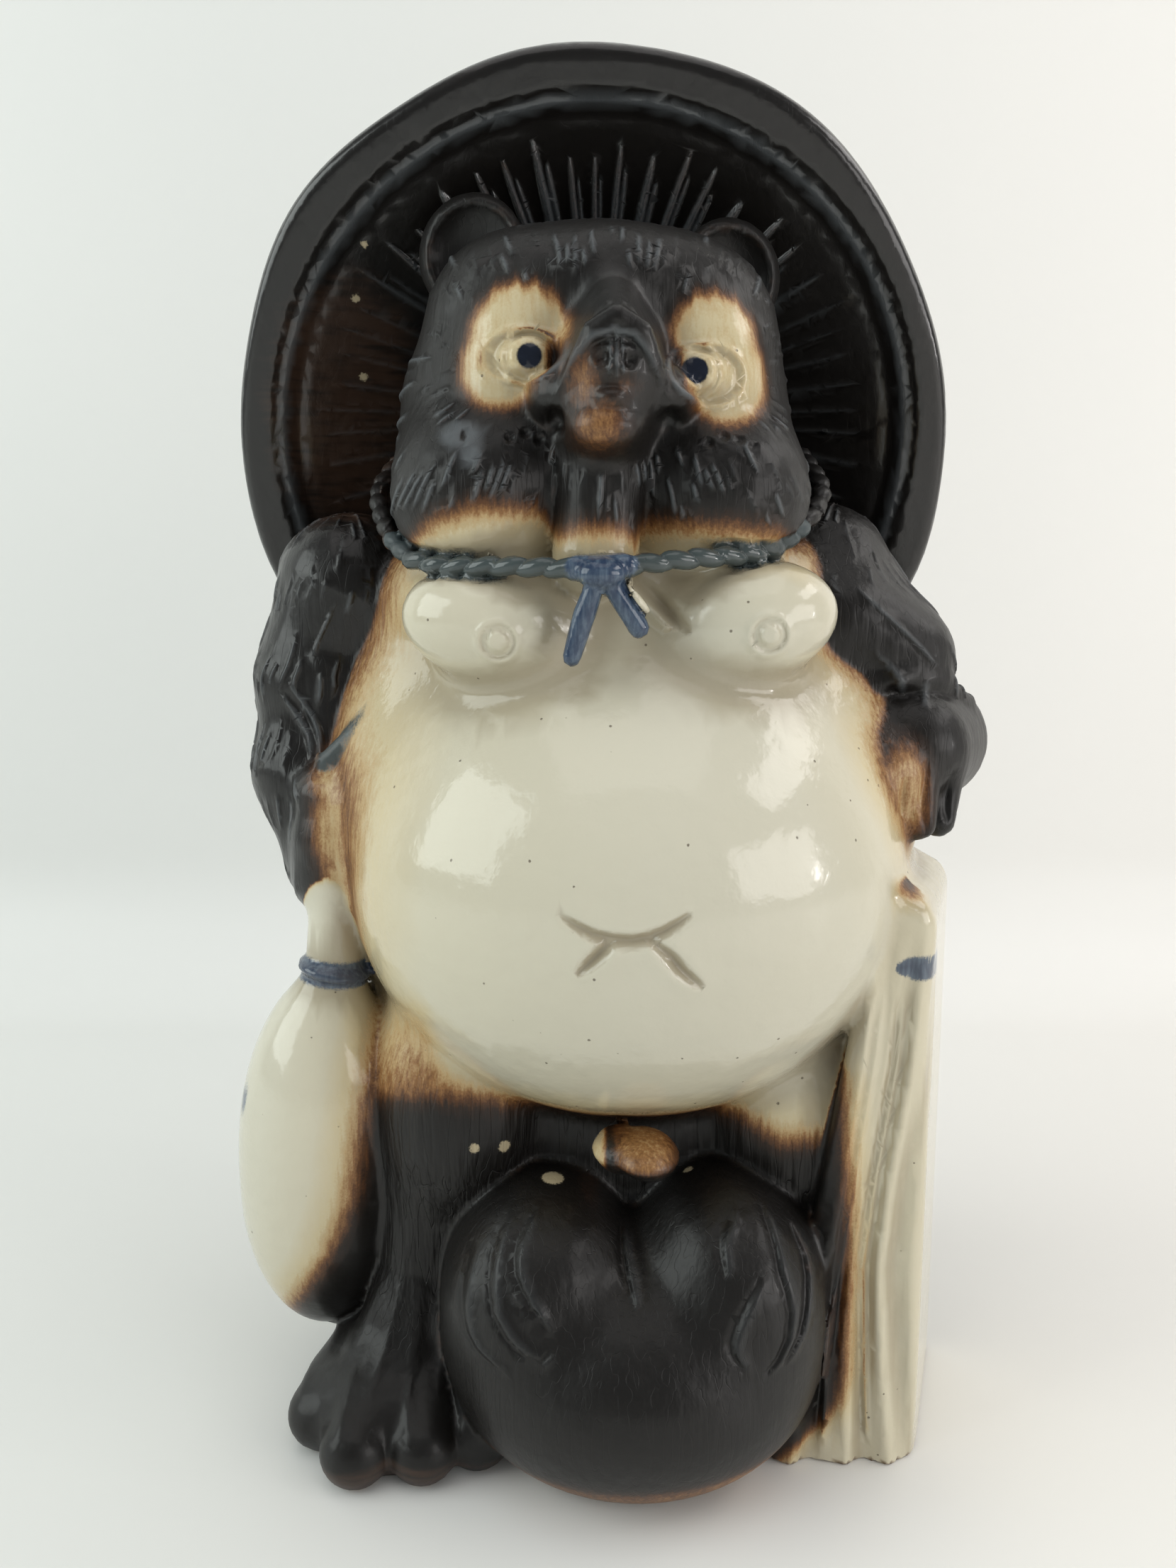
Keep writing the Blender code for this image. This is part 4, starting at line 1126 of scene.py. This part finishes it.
def cobalt(p):
    """Depth inside the blue brush marks: bow, flask's ring, and a few strokes on book and flask."""
    x, y, z = p.T
    bow = np.maximum.reduce([0.85 - flat_line(p, line) for line in BOW_LINES])
    bow = np.where((y < -15.5) & (cord(p) < 0.25), bow, -1.0)
    ring = 1.05 - np.abs(z - 35.2 + 0.12 * (x + 21.0))
    ring = np.where((flask(p) < 0.4) & (y < 2.0) & (x < -17.5), ring, -1.0)
    marks = np.clip(0.3 + 0.5 * (x - 19.2), 0.0, 0.95) - flat_line(p, BOOK_MARK)
    marks = np.where((ledger(p) < 0.4) & (x > 17.0), marks, -1.0)
    back_marks = 0.5 - np.hypot(y + 8.0, 0.35 * (z - np.where(z > 23.5, 27.5, 19.5)))
    marks = np.maximum(marks, np.where(x > 21.0, back_marks, -1.0))
    side = 0.45 - np.hypot(1.2 * (x + 28.0 - 0.2 * (z - 25.0)), 0.3 * (z - 25.4))
    side = np.where(x < -26.0, side, -1.0)
    return np.maximum.reduce((bow, ring, marks, side))


def wash(p):
    """Depth inside the thin blue grey on the collar's front and the strap."""
    collar = np.where(p[:, 1] < -10.0, 0.3 - cord(p), -1.0)
    return np.maximum(collar, 0.35 - strap(p))


# Where the brown is thin and shows the reddish clay: (centre, half sizes)
THIN_SPOTS = (((-20.5, 3.0, 76.0), (8.0, 9.0, 14.0)), ((-16.0, -18.0, 1.2), (7.5, 4.0, 1.6)),
              ((0.5, -18.0, 0.8), (13.0, 9.0, 1.5)), ((-15.0, 0.0, 69.0), (4.0, 8.0, 4.0)))


def off(p, normals, reach):
    """Points this far out from the surface."""
    return (p + reach * normals).astype(np.float32)


def tones(p, normals):
    """Glaze pooled in hollows together with painted shade in creases and valleys, brown worn thin, and the
    unglazed underside, each from 0 to 1.
    """
    pool_and_shade = smooth(bottle(off(p, normals, 0.45)), 0.42, 0.12)
    pool_and_shade = np.maximum(pool_and_shade, smooth(-relief(p), 0.03, 0.35))
    # Painted shade: wide valleys and tight creases are tinted darker, on top of the glaze gathered in hollows
    valley_shade = smooth(figure(off(p, normals, 1.8)), 1.72, 1.2)
    crease = smooth(figure(off(p, normals, 0.9)), 0.86, 0.6)
    pool_and_shade = np.maximum.reduce((pool_and_shade, 0.8 * valley_shade, 0.85 * crease))
    thin = 0.9 * smooth(bottle(off(p, normals, -0.5)), -0.42, -0.1)
    for centre, half in THIN_SPOTS:
        r = length((p - np.asarray(centre, np.float32)) / np.asarray(half, np.float32))
        thin = np.maximum(thin, smooth(r, 1.1, 0.5))
    raw = smooth(p[:, 2], 0.12, 0.04)
    return np.stack((pool_and_shade, thin, raw), axis=1)


# Brushed texture of the brown parts

# Each form's brush strokes and gloss
BRUSHED = ((head, 0.2, 0.08), (snout, 0.1, 0.25), (flask_arm, 0.25, 0.45), (ledger_arm, 0.25, 0.14),
           (hat, 0.08, 0.9), (pouch, 0.2, 0.15), (tail, 1.0, 0.2), (stub, 0.3, 0.3), (flask, 0.0, 0.5),
           (ledger, 0.0, 0.2), (cord, 0.0, 0.15), (strap, 0.0, 0.15))
# Strength of the painted highlight, pale grey lines along a form's carved ridges
RIDGE_SHEEN = ((head, 0.8), (flask_arm, 0.6), (ledger_arm, 0.6), (hat, 0.65), (pouch, 0.15))


def ridge_sheen_and_cheek_spot(p, value):
    """Where the brown turns a pale grey: a painted highlight along carved ridges, and a spot on one cheek."""
    share = np.zeros(len(p))
    for form, amount in RIDGE_SHEEN:
        share = np.maximum(share, amount * share_of(form, p, 0.3, 0.8))
    share = share * smooth(relief(p), 0.05, 0.16) * smooth(value, 0.2, -0.8)
    cheek = np.maximum(disc(p, -10.1, 73.5, 1.7, 1.1), disc(p, -9.4, 72.3, 0.9, 1.2))
    pit = np.hypot(2.0 * (p[:, 0] - CHEEK_PIT[0]), p[:, 2] - CHEEK_PIT[1])
    return np.maximum(share, np.where(p[:, 1] < -11.0, smooth(cheek, -0.1, 0.5) * smooth(pit, 0.3, 0.6), 0.0))


def brushed(p, value):
    """How deep the upright strokes in the brown are, how glossy it is, and where it is pale: a painted
    highlight on ridges and a spot on one cheek.
    """
    depth, gloss = 0.8 * smooth(p[:, 2], 6.0, 14.0), np.full(len(p), 0.15)
    for form, amount, shine in BRUSHED:
        share = share_of(form, p, 0.05, 0.5)
        depth = depth * (1 - share) + amount * share
        gloss = gloss * (1 - share) + shine * share
    depth = depth * smooth(value, 0.9, -0.2)
    return np.stack((depth, gloss, ridge_sheen_and_cheek_spot(p, value)), axis=1)


# The skin with its glaze

def placed(p):
    """Hundredths of the height to metres, from the middle of the footprint."""
    return (p - np.array((MIDDLE[0], MIDDLE[1], 0.0))) * UNIT


def write_vectors(mesh, name, values):
    """A value of three parts for each of a mesh's points."""
    made = mesh.attributes.new(name, "FLOAT_VECTOR", "POINT")
    made.data.foreach_set("vector", np.asarray(values, np.float32).ravel())


def skin():
    """The bottle's skin: netted, thinned, settled on its field, and carrying its glaze."""
    value = field_on_grid(np.asarray(SKIN_LOW), np.asarray(SKIN_HIGH), CELL)
    points, quads = net(value, np.asarray(SKIN_LOW), CELL)
    mesh = thinned(mesh_from(NODE + "_skin", points, quads), SKIN_TRIANGLES)
    mesh.vertices.foreach_set("co", settled(points_of(mesh)).ravel())
    mesh = refined(mesh, REFINE_PASSES)
    p = points_of(mesh)
    normals = slopes(bottle, p, 0.05)
    normals = normals / (length(normals)[:, None] + 1e-9)
    amount = cream(p)
    write_vectors(mesh, "glaze", np.stack((amount, cobalt(p), wash(p)), axis=1))
    # The tone attribute's first part is glaze gathered in hollows together with painted shade in creases and
    # valleys
    write_vectors(mesh, "tone", tones(p, normals))
    # The brush attribute's third part is the painted highlight on carved ridges and the pale spot on one
    # cheek
    write_vectors(mesh, "brush", brushed(p, amount))
    mesh.vertices.foreach_set("co", placed(p).astype(np.float32).ravel())
    mesh.polygons.foreach_set("use_smooth", [True] * len(mesh.polygons))
    mesh.update()
    mesh.normals_split_custom_set_from_vertices(normals)
    return shown(NODE + "_skin", mesh)


# Material maths: sockets that can be added, multiplied and compared

class Value:
    """A socket of a node tree, for sums: each sign adds the node of the same meaning."""

    def __init__(self, tree, socket):
        self.tree, self.socket = tree, socket

    def math(self, operation, *others):
        """A Math node on this value and others."""
        values = {i + 1: other for i, other in enumerate(others)}
        return add(self.tree, "ShaderNodeMath", {"operation": operation}, {0: self, **values})

    def __add__(self, other):
        return self.math("ADD", other)

    def __mul__(self, other):
        return self.math("MULTIPLY", other)

    def __sub__(self, other):
        return self.math("SUBTRACT", other)

    def __rsub__(self, other):
        return self.math("MULTIPLY_ADD", -1.0, other)

    __radd__, __rmul__ = __add__, __mul__

    def most(self, other):
        """The greater of the two."""
        return self.math("MAXIMUM", other)

    def step(self, low, high):
        """Smoothly from 0 at low to 1 at high."""
        inputs = {"Value": self, "From Min": low, "From Max": high}
        return add(self.tree, "ShaderNodeMapRange", {"interpolation_type": "SMOOTHSTEP"}, inputs)


def fill(tree, node, inputs):
    """Each named input of a node linked to its value, or set to its number or colour."""
    for name, value in inputs.items():
        if isinstance(value, Value):
            tree.links.new(value.socket, node.inputs[name])
        else:
            node.inputs[name].default_value = value


def add(tree, kind, settings=None, inputs=None, output=0):
    """A new node with its settings and inputs, as the value of one of its outputs."""
    node = tree.nodes.new(kind)
    for name, value in (settings or {}).items():
        setattr(node, name, value)
    fill(tree, node, inputs or {})
    return Value(tree, node.outputs[output])


def mixed(tree, share, first, second):
    """Two colours mixed: the first at share 0, the second at share 1."""
    inputs = {0: share, 6: first, 7: second}
    return add(tree, "ShaderNodeMix", {"data_type": "RGBA"}, inputs, output=2)


def noise(tree, place, scale, detail=2.0):
    """Noise about 0 at a place times a scale, which may differ along the three axes."""
    scaled = add(tree, "ShaderNodeVectorMath", {"operation": "MULTIPLY"}, {0: place, 1: scale})
    inputs = {"Vector": scaled, "Scale": 1.0, "Detail": detail, "Roughness": 0.5}
    return add(tree, "ShaderNodeTexNoise", None, inputs) - 0.5


def away_from(tree, place, point):
    """Distance to a point given in hundredths of the height."""
    return add(tree, "ShaderNodeVectorMath", {"operation": "DISTANCE"}, {0: place, 1: point}, "Value")


def new_material(name):
    """A new material, its tree, its shader and the place on the object in metres."""
    material = bpy.data.materials.new(name)
    material.use_nodes = True
    tree = material.node_tree
    place = Value(tree, tree.nodes.new("ShaderNodeTexCoord").outputs["Object"])
    return material, tree, tree.nodes["Principled BSDF"], place


# Colours of the glaze along the cream's distance, from full brown to bare cream
GLAZE_STEPS = ((-3.0, (0.0065, 0.0055, 0.0048)), (-1.8, (0.0085, 0.0065, 0.005)),
               (-1.0, (0.026, 0.0125, 0.0065)), (-0.4, (0.11, 0.044, 0.0145)), (0.1, (0.27, 0.132, 0.046)),
               (0.6, (0.47, 0.325, 0.155)), (1.4, (0.59, 0.50, 0.31)), (3.5, (0.60, 0.56, 0.43)),
               (8.0, (0.60, 0.572, 0.46)))
# Small chips of the brown, as (x, y, z, radius)
SPECKS = ((-10.0, -13.4, 23.8, 0.35), (-7.9, -12.4, 23.5, 0.45), (-4.4, -13.1, 21.5, 0.8),
          (5.5, -11.8, 21.5, 0.35), (-19.6, 2.1, 85.5, 0.3), (-18.5, 0.1, 88.9, 0.25),
          (-19.7, 5.2, 80.2, 0.3))
# Colours laid over the glaze, among them a pale grey for painted highlights on ridges and an amber brown for
# painted shade in creases, and the stretch of the cream's distance that its steps cover
WORN, SHEEN_AND_SPOT_GREY, POOL_AND_SHADE = (0.05, 0.027, 0.017, 1), (0.14, 0.155, 0.165, 1), (0.28, 0.225, 0.14, 1)
PIT, WASHED, PUPIL = (0.10, 0.075, 0.05, 1), (0.045, 0.062, 0.066, 1), (0.010, 0.014, 0.026, 1)
THIN_BLUE, THICK_BLUE = (0.11, 0.155, 0.21, 1), (0.024, 0.042, 0.085, 1)
CHIP, CLAY = (0.50, 0.42, 0.27, 1), (0.36, 0.25, 0.16, 1)
STEPS_START, STEPS_LENGTH = 3.0, 11.0


def glaze_material():
    """Brown glaze sprayed over cream, with brushed blue, on stoneware."""
    material, tree, shader, place = new_material("stoneware_glaze")
    spot = add(tree, "ShaderNodeVectorMath", {"operation": "MULTIPLY_ADD"},
               {0: place, 1: (1 / UNIT,) * 3, 2: (MIDDLE[0], MIDDLE[1], 0.0)})

    parts = {}
    for name in ("glaze", "tone", "brush"):
        vector = add(tree, "ShaderNodeAttribute", {"attribute_name": name}, None, "Vector")
        split = tree.nodes.new("ShaderNodeSeparateXYZ")
        fill(tree, split, {0: vector})
        parts[name] = [Value(tree, output) for output in split.outputs]
    bare, blue, grey = parts["glaze"]
    pool_and_shade, thin, raw = parts["tone"]
    depth, gloss, pale = parts["brush"]

    # The spray's edge is grainy and drawn out downwards
    streaks = noise(tree, spot, (3.4, 3.4, 0.45), 3.0)
    grain = noise(tree, spot, (7.0, 7.0, 6.0), 2.0)
    clouds = noise(tree, spot, (0.35, 0.35, 0.35), 2.0)
    spray = bare.step(-3.0, -0.8) * (1.0 - bare.step(0.8, 3.5))
    reach = bare + spray * (streaks * 1.3 + grain * 0.7) + clouds * 0.5

    ramp = tree.nodes.new("ShaderNodeValToRGB")
    fill(tree, ramp, {"Fac": (reach + STEPS_START) * (1 / STEPS_LENGTH)})
    steps = ramp.color_ramp.elements
    for number, (value, colour) in enumerate(GLAZE_STEPS):
        position = (value + STEPS_START) / STEPS_LENGTH
        step = steps[number] if number < 2 else steps.new(position)
        step.position = position
        step.color = (*colour, 1)
    colour = Value(tree, ramp.outputs["Color"])

    brown = 1.0 - reach.step(-1.0, 0.2)
    level = noise(tree, spot, (0.3, 0.3, 2.2), 2.0)
    worn = brown * (thin * (0.8 + level * 1.6) + clouds * 0.5).step(0.15, 0.9)
    colour = mixed(tree, worn * 0.8, colour, WORN)
    # Painted highlight: carved ridges on the brown turn pale grey, as does a spot on one cheek
    colour = mixed(tree, brown * pale * 0.6, colour, SHEEN_AND_SPOT_GREY)
    light = reach.step(0.2, 1.4)
    # Painted shade: creases and valleys on the cream turn a darker amber brown, together with glaze gathered
    # in hollows
    colour = mixed(tree, light * pool_and_shade * 0.7, colour, POOL_AND_SHADE)

    pits = add(tree, "ShaderNodeTexVoronoi", None, {"Vector": spot, "Scale": 0.55}, "Distance")
    pits = light * (1.0 - (pits + grain * 0.05).step(0.035, 0.06))
    colour = mixed(tree, pits * 0.75, colour, PIT)

    washed = (grey + grain * 0.35 + streaks * 0.25).step(-0.05, 0.35)
    colour = mixed(tree, washed * 0.97, colour, WASHED)
    painted = (blue + grain * 0.4).step(-0.05, 0.25)
    brush = (streaks * 1.5 + blue * 0.5).step(-0.4, 0.6)
    ink = mixed(tree, brush, THIN_BLUE, THICK_BLUE)
    colour = mixed(tree, painted * 0.93, colour, ink)

    front = 1.0 - add(tree, "ShaderNodeSeparateXYZ", None, {0: spot}, "Y").step(-13.0, -12.0)
    flat = add(tree, "ShaderNodeVectorMath", {"operation": "MULTIPLY"}, {0: spot, 1: (1, 0, 1)})
    for x, z, radius in PUPILS:
        r = away_from(tree, flat, (x, 0.0, z)) + grain * 0.12
        pupil = front * (1.0 - r.step(radius - 0.08, radius + 0.1))
        colour = mixed(tree, pupil, colour, PUPIL)
    for x, y, z, radius in SPECKS:
        r = away_from(tree, spot, (x, y, z)) + grain * 0.5
        chip = 1.0 - r.step(radius - 0.1, radius + 0.1)
        colour = mixed(tree, chip * 0.9, colour, CHIP)
    colour = mixed(tree, raw, colour, CLAY)

    # Brushed strokes run down the brown; the thick glaze is a little wavy
    broad = noise(tree, spot, (1.5, 1.5, 0.16), 2.0)
    scratches = 1.0 - noise(tree, spot, (1.2, 1.2, 0.10), 1.0).math("ABSOLUTE").step(0.0, 0.022)
    waves = noise(tree, spot, (0.42, 0.42, 0.42), 1.0) * 0.1
    waves = waves + noise(tree, spot, (1.3, 1.3, 1.3), 2.0) * 0.035
    height = depth * (broad * 0.30 - scratches * 0.045) + waves
    height = height - pits * 0.05 + grain * raw * 0.05
    bump = add(tree, "ShaderNodeBump", None, {"Height": height, "Distance": UNIT, "Strength": 1.0})

    rough = 0.48 - (gloss * 0.2).most(light * 0.36) + raw * 0.45 + clouds * 0.06
    coat = (gloss * 0.6).most(light * 0.25) * (1.0 - raw)
    fill(tree, shader, {"Base Color": colour, "Roughness": rough, "Coat Weight": coat, "Normal": bump,
                        "Coat Roughness": 0.12, "Specular IOR Level": 0.38})
    return material


# The scene

# The camera's place in hundredths of the height, how far it looks down in degrees, and its focal
# length and the photograph's height in the photograph's own pixels
CAMERA_PLACE = (-1.85, -100.0, 64.1)
CAMERA_DROP = 9
FOCAL_LENGTH, PHOTO_HEIGHT = 1800, 2212


def camera():
    """The photograph's view: from a little above, close, and level with the face."""
    data = bpy.data.cameras.new("camera")
    data.sensor_width = 36.0
    data.lens = data.sensor_width * FOCAL_LENGTH / PHOTO_HEIGHT
    data.clip_start = 0.01
    made = shown("camera", data)
    made.location = placed(np.array(CAMERA_PLACE))
    made.rotation_euler = (math.radians(90 - CAMERA_DROP), 0, 0)
    bpy.context.scene.camera = made


# The pale sheet's colour at its left and at its right, painted lighter at the right as if lit more from
# there, and its sizes in metres
SHEET_SHADED_LEFT, SHEET_LIT_RIGHT = (0.7326, 0.7425, 0.71775, 1), (0.8362, 0.8175, 0.783, 1)
SHEET_HALF, SHEET_FRONT, SHEET_DEPTH, SHEET_RADIUS, SHEET_HEIGHT = 1.6, -1.2, 0.18, 0.05, 1.6


def sheet_material():
    """The sheet: plain, slightly mottled, with painted light that makes it brighter to the right, and clear
    from behind.
    """
    material, tree, shader, place = new_material("pale_sheet")
    mottle = noise(tree, place, (9.0, 9.0, 9.0)).step(-0.5, 0.5)
    across = add(tree, "ShaderNodeSeparateXYZ", None, {0: place}, "X").step(-0.15, 0.2)
    # Painted light: the sheet is coloured brighter and warmer towards its right
    shade = mixed(tree, across * 0.9 + mottle * 0.1, SHEET_SHADED_LEFT, SHEET_LIT_RIGHT)
    behind = add(tree, "ShaderNodeNewGeometry", None, None, "Backfacing")
    fill(tree, shader, {"Base Color": shade, "Alpha": 1.0 - behind, "Roughness": 0.42,
                        "Specular IOR Level": 0.3})
    return material


def backdrop():
    """A pale sheet that lies flat under the bottle and curves up behind it."""
    turns = np.linspace(0, math.pi / 2, 13)
    bend = SHEET_DEPTH + SHEET_RADIUS * np.sin(turns)
    y = np.concatenate(((SHEET_FRONT,), bend, (SHEET_DEPTH + SHEET_RADIUS,)))
    z = np.concatenate(((0.0,), SHEET_RADIUS * (1 - np.cos(turns)), (SHEET_HEIGHT,)))
    points = [(x, a, b) for x in (-SHEET_HALF, SHEET_HALF) for a, b in zip(y, z)]
    count = len(y)
    faces = [(i, i + count, i + count + 1, i + 1) for i in range(count - 1)]
    mesh = bpy.data.meshes.new("backdrop")
    mesh.from_pydata(points, [], faces)
    mesh.polygons.foreach_set("use_smooth", [True] * len(faces))
    mesh.materials.append(sheet_material())
    made = shown("backdrop", mesh)


# Tints of the windows' light
COOL, WARM = (0.93, 1.0, 0.97), (1.0, 0.97, 0.95)
# Windows: turn to the right and rise in degrees, distance, width and height in metres, radiance, tint
WINDOWS = ((-75, 24, 0.9, 0.64, 0.62, 3.2, COOL), (91, 42, 0.9, 0.60, 0.22, 3.6, WARM),
           (60, 11, 0.9, 0.60, 0.38, 3.4, WARM), (77, 6, 0.9, 0.035, 0.10, 30.0, WARM),
           (0, 80, 1.1, 1.0, 1.0, 0.8, WARM))
WINDOW_TARGET = Vector((0.0, -0.05, 0.10))


def windows():
    """Area lights where the photograph's reflections show windows and a bright ceiling."""
    for number, (turn, rise, away, wide, high, radiance, tint) in enumerate(WINDOWS):
        a, e = math.radians(turn), math.radians(rise)
        towards = Vector((math.sin(a) * math.cos(e), -math.cos(a) * math.cos(e), math.sin(e)))
        light = bpy.data.lights.new(f"window_{number}", "AREA")
        light.shape = "RECTANGLE"
        light.size, light.size_y = wide, high
        light.energy = radiance * math.pi * wide * high
        light.color = tint
        made = shown(light.name, light)
        made.location = WINDOW_TARGET + away * towards
        made.rotation_euler = towards.to_track_quat("Z", "Y").to_euler()
        made.visible_camera = False


def surroundings():
    """A pale room: bright to the camera, dimmer as light on the bottle."""
    world = bpy.data.worlds.new("room")
    bpy.context.scene.world = world
    world.use_nodes = True
    tree = world.node_tree
    seen = add(tree, "ShaderNodeLightPath", None, None, "Is Camera Ray")
    mirrored = add(tree, "ShaderNodeLightPath", None, None, "Is Glossy Ray")
    strength = 0.56 + seen * 0.3 - mirrored * 0.4
    fill(tree, tree.nodes["Background"], {"Color": (0.95, 0.98, 1.0, 1), "Strength": strength})


bottle_skin = skin()
bottle_skin.data.materials.append(glaze_material())
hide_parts(NODE)
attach(bottle_skin, "root")
camera()
backdrop()
windows()
surroundings()
bpy.context.scene.view_settings.view_transform = "Standard"
